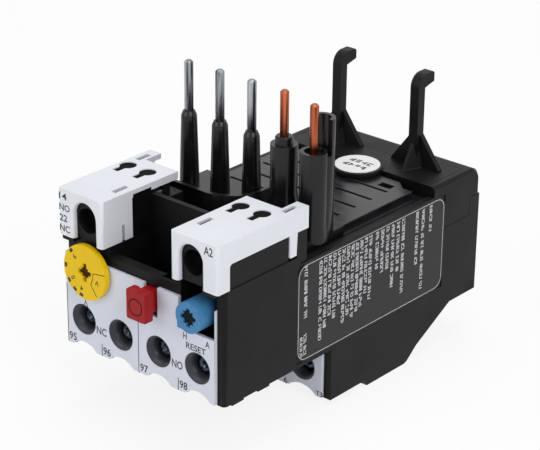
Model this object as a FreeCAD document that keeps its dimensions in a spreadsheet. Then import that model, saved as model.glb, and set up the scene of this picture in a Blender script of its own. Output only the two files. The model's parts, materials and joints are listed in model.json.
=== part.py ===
"""Thermal overload relay, 45 mm wide, three poles, plugged under a contactor.

Local frame of every sub-part: X across the width, Y from the front face (0) to the rear,
Z up from the underside of the front block (0).  Each sub-part is then placed so that the
row's origin lies at the bottom centre of the whole relay.
"""
import FreeCAD, Part
import math
import os
import re
import Sketcher
from FreeCAD import Placement, Rotation, Vector

# Driving dimensions in millimetres.
SIZES = {
    # overall casing
    "body_width": 45.0,
    "body_depth": 86.7,
    "casing_wall": 1.8,
    "deck_level": 24.2,
    "front_bay": 22.5,
    "load_front": 34.2,
    "load_foot": 12.4,
    "keel_start": 46.2,
    "keel_drop": 13.9,
    "haunch_run": 3.8,
    "haunch_rise": 3.1,
    "rear_foot": 4.2,
    "corner_radius": 1.0,
    "fit_gap": 0.3,
    "seat_gap": 0.1,
    # front row of auxiliary terminals
    "aux_centre": 0.65,
    "aux_height": 7.1,
    "funnel_mouth": 3.4,
    "funnel_throat": 2.8,
    "funnel_depth": 4.5,
    "aux_bay_width": 8.2,
    "aux_bay_end": 14.0,
    "aux_bay_floor": 2.6,
    "aux_bay_roof": 12.2,
    "aux_wire_width": 3.8,
    # load terminals
    "load_height": 6.0,
    "pole_bay_floor": 9.5,
    "load_wire_width": 5.4,
    # inner rooms
    "works_front": 15.3,
    "works_rear": 33.0,
    "works_floor": 2.0,
    "ledge_width": 1.0,
    # open well between the two terminal towers
    "rail_depth": 2.4,
    "well_end": 12.5,
    # white front plates
    "plate_thick": 0.8,
    "plate_foot": 0.2,
    "plate_hole": 3.5,
    "scallop_radius": 4.8,
    "scallop_rise": 1.5,
    # setting dial
    "dial_radius": 6.2,
    "dial_thick": 1.3,
    "dial_front": 2.4,
    "dial_shaft": 1.8,
    "dial_bore": 1.87,
    "dial_spigot": 1.2,
    "cam_radius": 2.2,
    "cam_offset": 0.5,
    "cam_thick": 2.4,
    # red test button
    "test_x": 2.8,
    "test_width": 4.8,
    "test_height": 6.6,
    "test_front": 5.4,
    "test_face": 2.4,
    "test_stem_width": 3.0,
    "test_stem_height": 4.8,
    "test_rod": 0.8,
    "test_travel": 2.0,
    # blue reset button
    "reset_radius": 3.4,
    "reset_tip": 4.2,
    "reset_front": 3.2,
    "reset_back": 3.0,
    "reset_shaft": 2.2,
    "reset_spigot": 1.5,
    "reset_travel": 2.0,
    "reset_room": 6.5,
    # terminal towers and their white caps
    "tower_rear": 22.5,
    "cap_front": 2.0,
    "cap_wall": 1.2,
    "cap_rear": 20.9,
    "cap_wing_width": 3.2,
    "cap_wing_rear": 25.7,
    "cap_leg": 3.6,
    "cap_prong_start": 19.8,
    "cap_prong_width": 2.5,
    "arch_radius": 3.2,
    "keyhole_radius": 1.9,
    "keyhole_slot": 1.7,
    "keyhole_pitch": 5.8,
    "keyhole_y": 16.3,
    "keyhole_length": 4.0,
    "centre_wall_thick": 1.2,
    # contactor pins and their sleeves
    "pin_y": 33.4,
    "pin_tip": 56.3,
    "pin_step": 0.3,
    "pin_bevel": 0.4,
    "last_pin_shift": 0.54,
    "last_pin_drop": 0.8,
    "pin_radius": 1.0,
    "aux_pin_radius": 0.95,
    "sleeve_top": 44.7,
    "sleeve_tip_radius": 1.75,
    "sleeve_foot_radius": 2.25,
    "tray_right": 3.4,
    "tray_wall": 0.9,
    "tray_corner": 9.0,
    "pin_block_end": 40.8,
    "socket_outer": 2.95,
    "socket_inner": 1.93,
    "socket_foot": 4.4,
    "socket_flare": 7.5,
    "stepped_shoulder": 44.4,
    "stepped_top": 46.2,
    "recessed_top": 45.1,
    "recess_radius": 2.05,
    "recess_depth": 0.9,
    "guard_top": 52.0,
    "guard_back": 2.4,
    "guard_outer": 2.9,
    "guard_inner": 2.0,
    # top plate, rear cover and hooks
    "flange_thick": 1.1,
    "cover_skin": 1.6,
    "cover_round": 3.0,
    "bracket_thick": 1.5,
    "hook_width": 2.4,
    "hook_depth": 2.3,
    "hook_top": 48.5,
    "hook_nose": 3.3,
    "hook_nose_height": 2.4,
    "gusset_spread": 6.7,
    "gusset_thick": 1.3,
    "rib_front": 3.6,
    "rib_spread": 2.6,
    "rib_ridge": 0.4,
    "rib_top": 32.3,
    "hook_round": 3.0,
    "gusset_top": 34.4,
    # screws and clamps
    "screw_head": 2.5,
    "screw_head_depth": 1.8,
    "screw_shank": 1.5,
    "screw_length": 8.0,
    "clamp_depth": 5.0,
    "strip_thick": 0.8,
    "strip_width": 4.0,
    # bimetals and trip mechanism
    "bimetal_y": 52.0,
    "bimetal_width": 4.6,
    "bimetal_thick": 1.0,
    "bimetal_foot": 7.7,
    "heater_thick": 1.1,
    "heater_foot": 3.0,
    "heater_top": 13.0,
    "heater_turn": 0.9,
    "slider_thick": 2.0,
    "slider_travel": 1.2,
    "lever_pivot_y": 17.5,
    "lever_pin": 1.0,
    "carrier_floor": 8.5,
    "carrier_roof": 13.5,
    "contact_level": 11.0,
    "contact_pad": 1.0,
    # labels
    "label_start": 22.5,
    "label_foot": 0.9,
    "label_thick": 0.2,
    "label_corner": 3.0,
    "boss_x": 1.8,
    "boss_radius": 5.9,
    "sticker_radius": 5.2,
    "sticker_thick": 0.15,
    # margins from the casing edges that place the pieces
    "aux_edge": 6.075,
    "bay_web": 3.6,
    "dial_edge": 7.7,
    "reset_edge": 7.0,
    "reset_slot_half": 4.9,
    "plate_margin": 1.9,
    "tower_width": 13.0,
    "arch_edge": 7.5,
    "pin_edge": 4.36,
    "top_plate_edge": 3.7,
    "bracket_edge": 2.1,
    "hook_edge": 11.3,
    "lever_edge": 13.0,
    "keel_rear": 25.7,
    "rear_foot_depth": 9.7,
    "bay_rear": 22.7,
    "cover_depth": 17.4,
    "tab_rear": 3.7,
    "bracket_rear": 8.5,
    "ear_rear": 4.7,
    "hook_rear": 11.1,
    "boss_rear": 19.0,
    "label_rear": 13.2,
    "ledge_drop": 1.7,
    "front_rise": 1.8,
    "slider_drop": 3.3,
    "bimetal_reach": 1.6,
    "top_plate_rise": 1.6,
    "cover_rise": 2.4,
    "tray_rise": 3.8,
    "tray_depth": 4.0,
    "socket_rise": 2.0,
    "trough_rise": 2.0,
    "waist_rise": 5.5,
    "tower_rise": 9.0,
    "cap_rise": 10.6,
    "skirt_rise": 5.7,
    "arch_rise": 5.6,
    "centre_wall_rise": 8.3,
    "boss_rise": 0.4,
    "label_drop": 0.5,
    "rail_drop": 2.2,
    "plate_drop": 4.3,
    "dial_drop": 6.6,
    "test_drop": 7.4,
    "reset_slot_drop": 4.5,
    "well_depth": 11.0,
    "rod_rise": 1.8,
    "tab_drop": 8.6,
    "back_drop": 4.2,
    "tray_start": 1.8,
}

# Places that follow from the sizes above.
DERIVED = {
    "aux_pitch": "(body_width - 2 * aux_edge) / 3",
    "pole_pitch": "body_width / 3",
    "pole_bay_width": "pole_pitch - bay_web",
    "dial_x": "body_width / 2 - dial_edge",
    "reset_x": "body_width / 2 - reset_edge",
    "reset_slot_left": "reset_x - reset_slot_half",
    "reset_slot_right": "reset_x + reset_slot_half + seat_gap",
    "plate_left": "body_width / 2 - fit_gap",
    "plate_right": "body_width / 2 - plate_margin",
    "well_width": "body_width - 2 * tower_width",
    "cap_inner": "well_width / 2 + 2 * seat_gap",
    "arch_x": "body_width / 2 - arch_edge",
    "pin_pitch": "(body_width - 2 * pin_edge) / 4",
    "top_plate_width": "body_width - 2 * top_plate_edge",
    "bracket_width": "body_width - 2 * bracket_edge",
    "hook_spacing": "body_width - 2 * hook_edge",
    "lever_pivot_x": "body_width / 2 - lever_edge",
    "keel_end": "body_depth - keel_rear",
    "rear_foot_start": "body_depth - rear_foot_depth",
    "pole_bay_end": "body_depth - bay_rear",
    "cover_front": "body_depth - cover_depth",
    "cover_tab_end": "body_depth - tab_rear",
    "bracket_end": "body_depth - bracket_rear",
    "bracket_ear_end": "body_depth - ear_rear",
    "hook_front": "body_depth - hook_rear",
    "gusset_front": "hook_front - rib_front",
    "boss_y": "body_depth - boss_rear",
    "label_end": "body_depth - label_rear",
    "top_plate_end": "cover_front - fit_gap",
    "gallery_ledge": "deck_level - ledge_drop",
    "front_top": "deck_level + front_rise",
    "slider_level": "gallery_ledge - slider_drop",
    "gallery_floor": "slider_level - fit_gap",
    "bimetal_tip": "slider_level + bimetal_reach",
    "pin_foot": "gallery_ledge - seat_gap",
    "top_plate_level": "deck_level + top_plate_rise",
    "cover_top": "deck_level + cover_rise",
    "tray_floor": "deck_level + tray_rise",
    "tray_rim": "tray_floor + tray_depth",
    "tray_front": "front_bay + tray_start",
    "socket_deck": "deck_level + socket_rise",
    "trough_floor": "front_top + trough_rise",
    "tower_waist": "front_top + waist_rise",
    "tower_top": "front_top + tower_rise",
    "cap_top": "front_top + cap_rise",
    "cap_skirt": "front_top + skirt_rise",
    "arch_height": "front_top + arch_rise",
    "centre_wall_top": "front_top + centre_wall_rise",
    "boss_top": "cover_top + boss_rise",
    "label_top": "deck_level - label_drop",
    "rail_top": "front_top - rail_drop",
    "plate_top": "front_top - plate_drop",
    "dial_z": "front_top - dial_drop",
    "reset_z": "front_top - dial_drop",
    "test_z": "front_top - test_drop",
    "reset_slot_foot": "reset_z - reset_slot_drop",
    "well_floor": "front_top - well_depth",
    "rod_height": "well_floor + rod_rise",
    "cover_tab_foot": "deck_level - tab_drop",
    "cover_rear_foot": "deck_level - back_drop",
}

HALF = "body_width / 2"
PLACE_Y = "(test_front - body_depth) / 2"
PLACE_Z = "keel_drop"
AUX_NAMES = ("95", "96", "97", "98")
SIDES = {"left": -1, "right": 1}

doc = FreeCAD.newDocument("OverloadRelay")
sheet = doc.addObject("Spreadsheet::Sheet", "Sizes")
for row, (alias, value) in enumerate(SIZES.items(), start=1):
    sheet.set(f"A{row}", alias)
    sheet.set(f"B{row}", str(value))
    sheet.setAlias(f"B{row}", alias)
doc.recompute()


def sized(text):
    """Put the relations into a formula and point each size name at its cell of the sheet."""
    def resolve(match):
        name = match[0]
        if name in DERIVED:
            return f"({sized(DERIVED[name])})"
        return f"Sizes.{name}" if name in SIZES else name

    return re.sub(r"[a-z][a-z_0-9]*", resolve, str(text))


def bind(thing, path, text):
    thing.setExpression(path, sized(text))


def value(text):
    """The present value of a formula in size names."""
    return float(sheet.evalExpression(sized(text)))


def new_body(label):
    """A PartDesign body placed in the row's frame."""
    body = doc.addObject("PartDesign::Body", label)
    body.Label = label
    body.AllowCompound = True
    bind(body, "Placement.Base.y", PLACE_Y)
    bind(body, "Placement.Base.z", PLACE_Z)
    return body


def origin_plane(body, role):
    return next(f for f in body.Origin.OriginFeatures if f.Role == role)


def box(body, sign, name, x, y, z):
    """An added or removed block between two formulas along each axis."""
    feature = body.newObject(f"PartDesign::{sign}Box", name)
    for axis, side, (low, high) in zip("xyz", ("Length", "Width", "Height"), (x, y, z)):
        bind(feature, side, f"({high}) - ({low})")
        bind(feature, f"Placement.Base.{axis}", low)
    return feature


TURN = {
    "x": Rotation(Vector(0, 1, 0), 90),
    "y": Rotation(Vector(1, 0, 0), -90),
    "z": Rotation(),
}


def rod(body, sign, name, axis, at, span, radius, end_radius=None):
    """A cylinder, or a cone where end_radius is given, along one axis from span[0] to span[1]."""
    kind = "Cylinder" if end_radius is None else "Cone"
    feature = body.newObject(f"PartDesign::{sign}{kind}", name)
    feature.Placement = Placement(Vector(), TURN[axis])
    bind(feature, "Height", f"({span[1]}) - ({span[0]})")
    if end_radius is None:
        bind(feature, "Radius", radius)
    else:
        bind(feature, "Radius1", radius)
        bind(feature, "Radius2", end_radius)
    across = [a for a in "xyz" if a != axis]
    bind(feature, f"Placement.Base.{axis}", span[0])
    bind(feature, f"Placement.Base.{across[0]}", at[0])
    bind(feature, f"Placement.Base.{across[1]}", at[1])
    return feature


def outline(body, name, role, level, points):
    """A closed polygon sketch whose corners sit at formulas of the sizes."""
    sketch = body.newObject("Sketcher::SketchObject", name)
    sketch.AttachmentSupport = [(origin_plane(body, role), "")]
    sketch.MapMode = "FlatFace"
    bind(sketch, "AttachmentOffset.Base.z", level)
    corners = [Vector(value(u), value(v), 0) for u, v in points]
    for i, corner in enumerate(corners):
        sketch.addGeometry(Part.LineSegment(corner, corners[(i + 1) % len(corners)]))
    for i, (u, v) in enumerate(points):
        sketch.addConstraint(Sketcher.Constraint("Coincident", i, 2, (i + 1) % len(points), 1))
        for kind, text in (("DistanceX", u), ("DistanceY", v)):
            index = sketch.addConstraint(Sketcher.Constraint(kind, -1, 1, i, 1, value(text)))
            bind(sketch, f"Constraints[{index}]", text)
    return sketch


def slab(body, sign, name, role, points, low, high):
    """A polygon taken from low to high along the normal axis of an origin plane."""
    flip = role == "XZ_Plane"
    start = f"-({high})" if flip else low
    sketch = outline(body, name + "Outline", role, start, points)
    feature = body.newObject("PartDesign::Pad" if sign == "Additive" else "PartDesign::Pocket", name)
    feature.Profile = sketch
    feature.Reversed = sign == "Subtractive"
    bind(feature, "Length", f"({high}) - ({low})")
    return feature


def between(number, low, high):
    return low - 0.01 <= number <= high + 0.01


def soften(body, name, radius, axis, x, y, z, kind="Fillet"):
    """Round or bevel the straight edges along one axis whose middles lie in a region."""
    doc.recompute()
    base = body.Tip
    region = [[value(low), value(high)] for low, high in (x, y, z)]
    picked = []
    for number, edge in enumerate(base.Shape.Edges, start=1):
        if edge.Curve.TypeId != "Part::GeomLine":
            continue
        along = edge.Curve.Direction["xyz".index(axis)]
        if abs(along) < 0.999:
            continue
        middle = edge.CenterOfMass
        if all(between(middle[i], *region[i]) for i in range(3)):
            picked.append(f"Edge{number}")
    if not picked:
        raise RuntimeError(f"{body.Label}: no edge found for {name}")
    feature = body.newObject(f"PartDesign::{kind}", name)
    feature.Base = (base, picked)
    bind(feature, "Radius" if kind == "Fillet" else "Size", radius)
    return feature


def aux_x(index):
    """Centre of one of the four auxiliary terminals in the front row."""
    return f"(aux_pitch * {index - 1.5} - aux_centre)"


def pole_x(index):
    return f"(pole_pitch * {index - 1})"


def around(centre, width):
    """A span of the given width about a centre."""
    return (f"{centre} - ({width}) / 2", f"{centre} + ({width}) / 2")


def mirrored(side, low, high):
    """The span low..high measured outwards from the middle, on the left or the right."""
    if SIDES[side] > 0:
        return (low, high)
    return (f"-({high})", f"-({low})")


def make_housing():
    """Main casing: a side profile carried across the width, then its rooms and openings."""
    body = new_body("housing")
    slab(body, "Additive", "SideProfile", "YZ_Plane", [
        ("0", "0"),
        ("load_front", "0"),
        ("load_front", "-load_foot"),
        ("keel_start", "-load_foot"),
        ("keel_start + (keel_drop - load_foot) / 2", "-keel_drop"),
        ("keel_end", "-keel_drop"),
        ("keel_end + haunch_run", "haunch_rise - keel_drop"),
        ("rear_foot_start", "-rear_foot"),
        ("body_depth", "-rear_foot"),
        ("body_depth", "deck_level"),
        ("front_bay + 1", "deck_level"),
        ("front_bay", "front_top"),
        ("0", "front_top"),
    ], f"-({HALF})", HALF)
    whole_width = (f"-({HALF}) - 1", f"{HALF} + 1")
    near_keel = ("-keel_drop - 0.1", "haunch_rise - keel_drop + 0.1")
    soften(body, "HaunchRound", "haunch_run * 0.7", "x", whole_width,
           ("keel_end - 0.1", "keel_end + haunch_run + 0.1"), near_keel)
    soften(body, "FrontCorners", "corner_radius", "z", whole_width,
           ("-0.1", "0.1"), ("-1", "front_top + 1"))
    for side in SIDES:
        lip = mirrored(side, f"{HALF} - 4.2", f"{HALF} - corner_radius")
        box(body, "Additive", f"CapLedge{side}", lip, ("-cap_front", "0.5"), ("front_top - 0.8", "front_top"))
        for number, start in enumerate(("2.3", "10.3")):
            foot = mirrored(side, f"{HALF} - casing_wall", HALF)
            box(body, "Additive", f"Foot{side}{number}", foot, (start, f"{start} + 3.6"), ("-0.4", "0.2"))
    cut_inner_rooms(body)
    cut_front_terminals(body)
    cut_load_terminals(body)
    cut_front_controls(body)
    cut_cover_seats(body)
    return body


def cut_inner_rooms(body):
    """Gallery for the slider, room for the works, and one bay behind each load terminal."""
    inner = f"({HALF} - casing_wall)"
    ledge = f"({inner} - ledge_width)"
    box(body, "Subtractive", "Gallery", (f"-{ledge}", ledge), ("works_front", "pole_bay_end"),
        ("gallery_floor", "front_top + 1"))
    box(body, "Subtractive", "LidSeat", (f"-{inner}", inner), ("front_bay + 0.5", "cover_front"),
        ("gallery_ledge", "front_top + 1"))
    box(body, "Subtractive", "Works", (f"-{ledge}", ledge), ("works_front", "works_rear"),
        ("works_floor", "gallery_floor + 1"))
    for index in range(3):
        box(body, "Subtractive", f"PoleBay{index}", around(pole_x(index), "pole_bay_width"),
            ("load_front + 3.8", "pole_bay_end"), ("-pole_bay_floor", "gallery_floor + 1"))
    box(body, "Subtractive", "Well", ("-well_width / 2", "well_width / 2"), ("rail_depth", "well_end"),
        ("well_floor", "front_top + 1"))
    box(body, "Subtractive", "RailTop", ("-well_width / 2", "well_width / 2"), ("-1", "rail_depth + 0.5"),
        ("rail_top", "front_top + 1"))
    box(body, "Subtractive", "RailEnd", ("test_x + 1.9", "well_width / 2"), ("0.8", "rail_depth + 0.5"),
        ("plate_top - 2", "front_top + 1"))


def cut_front_terminals(body):
    """Four funnels for the screwdriver, the clamp rooms behind them and wire holes below."""
    for index, name in enumerate(AUX_NAMES):
        centre = aux_x(index)
        rod(body, "Subtractive", f"Funnel{name}", "y", (centre, "aux_height"), ("0", "funnel_depth + 0.1"),
            "funnel_mouth", "funnel_throat")
        box(body, "Subtractive", f"AuxBay{name}", around(centre, "aux_bay_width"),
            ("funnel_depth", "aux_bay_end"), ("aux_bay_floor", "aux_bay_roof"))
        box(body, "Subtractive", f"AuxWire{name}", around(centre, "aux_wire_width"),
            ("funnel_depth + 2.5", "funnel_depth + 7"), ("-1", "aux_bay_floor + 0.5"))
        box(body, "Subtractive", f"StripSlot{name}", around(centre, "strip_width + 2 * seat_gap"),
            ("aux_bay_end - 0.5", "works_front + 0.5"), around("aux_height", "2.4"))


def cut_load_terminals(body):
    """Funnels and wire holes of the three load terminals in the rear block."""
    for index in range(3):
        centre = pole_x(index)
        rod(body, "Subtractive", f"LoadFunnel{index}", "y", (centre, "-load_height"),
            ("load_front", "load_front + 4"), "funnel_mouth", "funnel_throat")
        box(body, "Subtractive", f"LoadWire{index}", around(centre, "load_wire_width"),
            ("load_front + 5", "load_front + 10.5"), ("-load_foot - 1", "0.5 - pole_bay_floor"))


def cut_front_controls(body):
    """Bores and openings for the dial, the red button and the blue button."""
    rod(body, "Subtractive", "DialBore", "y", ("-dial_x", "dial_z"), ("-1", "works_front + 1"), "dial_bore")
    box(body, "Subtractive", "TestOpening", around("test_x", "test_stem_width + 0.6"),
        ("-1", "rail_depth + 1"), around("test_z", "test_stem_height + 0.6"))
    rod(body, "Subtractive", "TestRodBore", "y", ("test_x", "rod_height"),
        ("well_end - 1", "works_front + 1"), "test_rod + seat_gap")
    box(body, "Subtractive", "ResetRoom", ("reset_slot_left", "reset_slot_right"), ("-1", "reset_room"),
        ("reset_slot_foot", "front_top + 1"))
    rod(body, "Subtractive", "ResetBore", "y", ("reset_x", "reset_z"), ("reset_room - 1", "works_front + 1"),
        "reset_shaft + seat_gap")


def cut_cover_seats(body):
    """Recesses for the rear cover's side tabs and back lip, and for the side label."""
    skin = "(cover_skin + seat_gap)"
    above = "deck_level + 1"
    for side in SIDES:
        tab = mirrored(side, f"{HALF} - {skin}", f"{HALF} + 1")
        box(body, "Subtractive", f"TabSeat{side}", tab, ("cover_front - seat_gap", "cover_tab_end + seat_gap"),
            ("cover_tab_foot - seat_gap", above))
    box(body, "Subtractive", "BackSeat", (f"-({HALF}) - 1", f"{HALF} + 1"),
        (f"body_depth - {skin}", "body_depth + 1"), ("cover_rear_foot - seat_gap", above))
    for side in SIDES:
        tab = mirrored(side, f"{HALF} - {skin}", f"{HALF} + 1")
        box(body, "Subtractive", f"TabRear{side}", tab, ("cover_tab_end", "body_depth + 1"),
            ("cover_rear_foot - seat_gap", above))
    box(body, "Subtractive", "LabelSeat", (f"{HALF} - label_thick", f"{HALF} + 1"),
        ("label_start", "label_end"), ("label_foot", "label_top"))


def make_upper_housing():
    """Upper front casing: two terminal towers joined by the wall behind the open well."""
    body = new_body("upper_housing")
    edge = f"({HALF} - 0.2)"
    inner = "(cap_inner + seat_gap)"
    slab(body, "Additive", "Footing", "XY_Plane", [
        (f"-{edge}", "0"), (f"-{inner}", "0"), (f"-{inner}", "well_end"), (inner, "well_end"),
        (inner, "0"), (edge, "0"), (edge, "tower_rear"), (f"-{edge}", "tower_rear"),
    ], "front_top", "trough_floor")
    box(body, "Additive", "CentreWall", (f"-{inner} - 1", f"{inner} + 1"),
        ("well_end", "well_end + centre_wall_thick"), ("front_top", "centre_wall_top"))
    for side in SIDES:
        lower = mirrored(side, inner, edge)
        upper = mirrored(side, "cap_inner + cap_wall + seat_gap", f"{HALF} - cap_wall - seat_gap")
        box(body, "Additive", f"TowerFoot{side}", lower, ("0", "tower_rear"), ("front_top", "tower_waist"))
        box(body, "Additive", f"TowerHead{side}", upper, ("cap_wall + seat_gap - cap_front", "cap_rear - cap_wall"),
            ("front_top", "tower_top"))
        panel_top = "cap_skirt - seat_gap"
        slab(body, "Additive", f"RearPanel{side}", "YZ_Plane", [
            ("tower_rear - 1", "front_top"), ("front_bay + seat_gap", "front_top"),
            ("front_bay + 1 + seat_gap", "deck_level + seat_gap"), ("cap_wing_rear - 0.2", "deck_level + seat_gap"),
            ("cap_wing_rear - 0.2", panel_top), ("tower_rear - 1", panel_top),
        ], *mirrored(side, f"{HALF} - cap_wall - 3 * seat_gap", edge))
        for number in (-0.5, 0.5):
            spot = f"({keyhole_centre(side)} + {number} * keyhole_pitch)"
            top = "cap_top - 0.4"
            rod(body, "Additive", f"KeyBoss{side}{number > 0}", "z", (spot, "keyhole_y"), ("tower_top - 1", top),
                "keyhole_radius - 0.15")
            box(body, "Additive", f"KeyBar{side}{number > 0}", around(spot, "keyhole_slot - 0.3"),
                ("keyhole_y - keyhole_length + 0.15", "keyhole_y"), ("tower_top - 1", top))
        cut_tower(body, side)
    return body


def cut_tower(body, side):
    """Seats for the cap's legs, the screw bore, the clamp room and the wire holes of a tower."""
    gap = "(cap_wall + 2 * seat_gap)"
    outer = mirrored(side, f"{HALF} - {gap}", f"{HALF} + 1")
    inner = mirrored(side, "cap_inner - 1", f"cap_inner + {gap}")
    high = ("front_top - 1", "tower_top + 1")
    box(body, "Subtractive", f"LegSeat{side}", outer, ("-3", "cap_leg - cap_front + seat_gap"), high)
    box(body, "Subtractive", f"ProngSeat{side}", outer,
        ("cap_prong_start - seat_gap", "cap_prong_start + cap_prong_width + seat_gap"), high)
    box(body, "Subtractive", f"InnerSeat{side}", inner, ("-3", "7.2"), high)
    leg_end = "(cap_leg - cap_front + seat_gap)"
    soften(body, f"WaistRound{side}", "0.8", "x", outer, (f"{leg_end} - 0.1", f"{leg_end} + 0.1"),
           ("tower_waist - 0.1", "tower_waist + 0.1"))
    centre = f"{SIDES[side]} * arch_x"
    rod(body, "Subtractive", f"ScrewBore{side}", "y", (centre, "arch_height - 1"),
        ("-3", "4.5"), "funnel_throat")
    box(body, "Subtractive", f"ClampRoom{side}", around(centre, "10.4"), ("4", "17.5"),
        ("arch_height - 4.6", "arch_height + 2.4"))
    for number in (-0.5, 0.5):
        spot = f"({keyhole_centre(side)} + {number} * keyhole_pitch)"
        rod(body, "Subtractive", f"WireHole{side}{number > 0}", "z", (spot, "keyhole_y"),
            ("arch_height", "cap_top + 1"), "keyhole_radius - 0.6")
    slot = around(centre, "3.6")
    box(body, "Subtractive", f"LeadSlot{side}", slot, ("17", "20"), ("trough_floor", "trough_floor + 1.4"))
    box(body, "Subtractive", f"LeadRise{side}", slot, ("18.6", "20"), ("front_top - 1", "trough_floor + 1"))


def keyhole_centre(side):
    return f"({SIDES[side]} * (cap_inner + {HALF}) / 2 - 1)"


def make_cap(side):
    """White terminal cap: a lid with a wing, front wall with an arch, legs and snap prong."""
    body = new_body(f"cap_{side}")
    sign = SIDES[side]
    corners = [
        ("cap_inner", "-cap_front"), (HALF, "-cap_front"), (HALF, "cap_wing_rear"),
        (f"{HALF} - cap_wing_width", "cap_wing_rear"), (f"{HALF} - cap_wing_width", "cap_rear"),
        ("cap_inner", "cap_rear"),
    ]
    if sign < 0:
        corners = [(f"-({u})", v) for u, v in corners]
    slab(body, "Additive", "Lid", "XY_Plane", corners, "cap_top - cap_wall", "cap_top")
    lid_edge = "cap_top - 1.7"
    width = mirrored(side, "cap_inner", HALF)
    inner = mirrored(side, "cap_inner", "cap_inner + cap_wall")
    outer = mirrored(side, f"{HALF} - cap_wall", HALF)
    box(body, "Additive", "Front", width, ("-cap_front", "cap_wall - cap_front"), ("front_top", "cap_top"))
    box(body, "Additive", "InnerLeg", inner, ("-cap_front", "7"), ("front_top", "cap_top"))
    box(body, "Additive", "InnerRim", inner, ("6", "cap_rear"), (lid_edge, "cap_top"))
    box(body, "Additive", "OuterSkirt", outer, ("-cap_front", "cap_wing_rear"), ("cap_skirt", "cap_top"))
    box(body, "Additive", "OuterLeg", outer, ("-cap_front", "cap_leg - cap_front"), ("front_top", "cap_top"))
    prong_end = "cap_prong_start + cap_prong_width"
    slab(body, "Additive", "Prong", "YZ_Plane", [
        ("cap_prong_start + 0.3", "front_top + 0.6"), (f"{prong_end} - 0.3", "front_top + 0.6"),
        (prong_end, "cap_skirt + 1"), ("cap_prong_start", "cap_skirt + 1"),
    ], *outer)
    soften(body, "SkirtRound", "0.8", "x", outer, ("cap_leg - cap_front - 0.1", "cap_leg - cap_front + 0.1"),
           ("cap_skirt - 0.1", "cap_skirt + 0.1"))
    box(body, "Additive", "RearRim", mirrored(side, "cap_inner", f"{HALF} - cap_wing_width"),
        ("cap_rear - 1", "cap_rear"), (lid_edge, "cap_top"))
    box(body, "Subtractive", "LegSlit", mirrored(side, "cap_inner - 1", "cap_inner + 2"), ("3.9", "4.7"),
        ("front_top - 1", "front_top + 3.7"))
    centre = f"{sign} * arch_x"
    box(body, "Subtractive", "ArchFoot", around(centre, "2 * arch_radius"), ("-cap_front - 1", "0"),
        ("front_top - 1", "arch_height"))
    rod(body, "Subtractive", "ArchHead", "y", (centre, "arch_height"), ("-cap_front - 1", "0"), "arch_radius")
    cut_cap_slots(body, side)
    soften(body, "FrontEdges", "cap_wall * 0.6", "z", width, ("-cap_front - 0.1", "0.1 - cap_front"),
           ("front_top - 1", "cap_top + 1"))
    return body


def cut_cap_slots(body, side):
    """Two keyholes and two narrow slots through the lid of a cap."""
    through = ("cap_top - 3", "cap_top + 1")
    for number, step in enumerate((-0.5, 0.5)):
        spot = f"({keyhole_centre(side)} + {step} * keyhole_pitch)"
        rod(body, "Subtractive", f"Keyhole{number}", "z", (spot, "keyhole_y"), through, "keyhole_radius")
        box(body, "Subtractive", f"KeySlot{number}", around(spot, "keyhole_slot"),
            ("keyhole_y - keyhole_length", "keyhole_y"), through)
    box(body, "Subtractive", "FrontSlot", mirrored(side, "cap_inner + 1.7", "cap_inner + 2.9"),
        ("3.8", "7.8"), through)
    box(body, "Subtractive", "WingSlot", mirrored(side, f"{HALF} - 2.4", f"{HALF} - cap_wall"),
        ("cap_rear - 1.2", "cap_rear + 2.6"), through)


def make_pin_block():
    """Pin block: a flange, the rimmed tray with three tapered sleeves, and two sockets."""
    body = new_body("pin_block")
    inner = f"({HALF} - casing_wall - seat_gap)"
    lip = f"({HALF} - casing_wall - ledge_width)"
    box(body, "Additive", "Flange", (f"-{inner}", inner), ("front_bay + 0.7", "pin_block_end"),
        ("gallery_ledge", "gallery_ledge + flange_thick"))
    box(body, "Additive", "SocketDeck", (f"-{lip}", lip), ("tray_front", "pin_block_end"),
        ("gallery_ledge", "socket_deck"))
    box(body, "Additive", "Tray", (f"-{lip}", "tray_right"), ("tray_front", "pin_block_end"),
        ("gallery_ledge", "tray_rim"))
    soften(body, "TrayCorner", "tray_corner", "z", ("tray_right - 0.1", "tray_right + 0.1"),
           ("tray_front - 0.1", "tray_front + 0.1"), ("socket_deck - 1", "tray_rim + 1"))
    edge = "(tray_right - tray_wall)"
    front = "(tray_front + tray_wall)"
    corner = "(tray_corner - tray_wall)"
    hollow = ("tray_floor", "tray_rim + 1")
    rod(body, "Subtractive", "TrayRound", "z", (f"{edge} - {corner}", f"{front} + {corner}"), hollow, corner)
    box(body, "Subtractive", "TrayRear", (f"-{HALF}", edge), (f"{front} + {corner}", "pin_block_end + 1"), hollow)
    box(body, "Subtractive", "TrayFront", (f"-{HALF}", f"{edge} - {corner}"),
        (front, f"{front} + {corner} + 1"), hollow)
    for index in range(3):
        place = pin_place(index)
        rod(body, "Additive", f"Sleeve{index}", "z", place, ("tray_floor - 1", "sleeve_top - 1"),
            "sleeve_foot_radius", "sleeve_tip_radius")
        rod(body, "Additive", f"SleeveTip{index}", "z", place, ("sleeve_top - 1", "sleeve_top"),
            "sleeve_tip_radius", "sleeve_tip_radius - 0.4")
    add_stepped_socket(body)
    add_recessed_socket(body)
    for index in range(5):
        rod(body, "Subtractive", f"PinBore{index}", "z", pin_place(index),
            ("gallery_ledge - 1", "stepped_top + 1"), f"{pin_radius(index)} - pin_step")
    return body


def pin_place(index):
    """Centre of one of the five pins; the last stands a little inwards and forwards of the row."""
    shift = " - last_pin_shift" if index == 4 else ""
    return (f"(pin_pitch * {index - 2}{shift})", f"(pin_y{shift})")


def pin_radius(index):
    return "pin_radius" if index < 3 else "aux_pin_radius"


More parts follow.
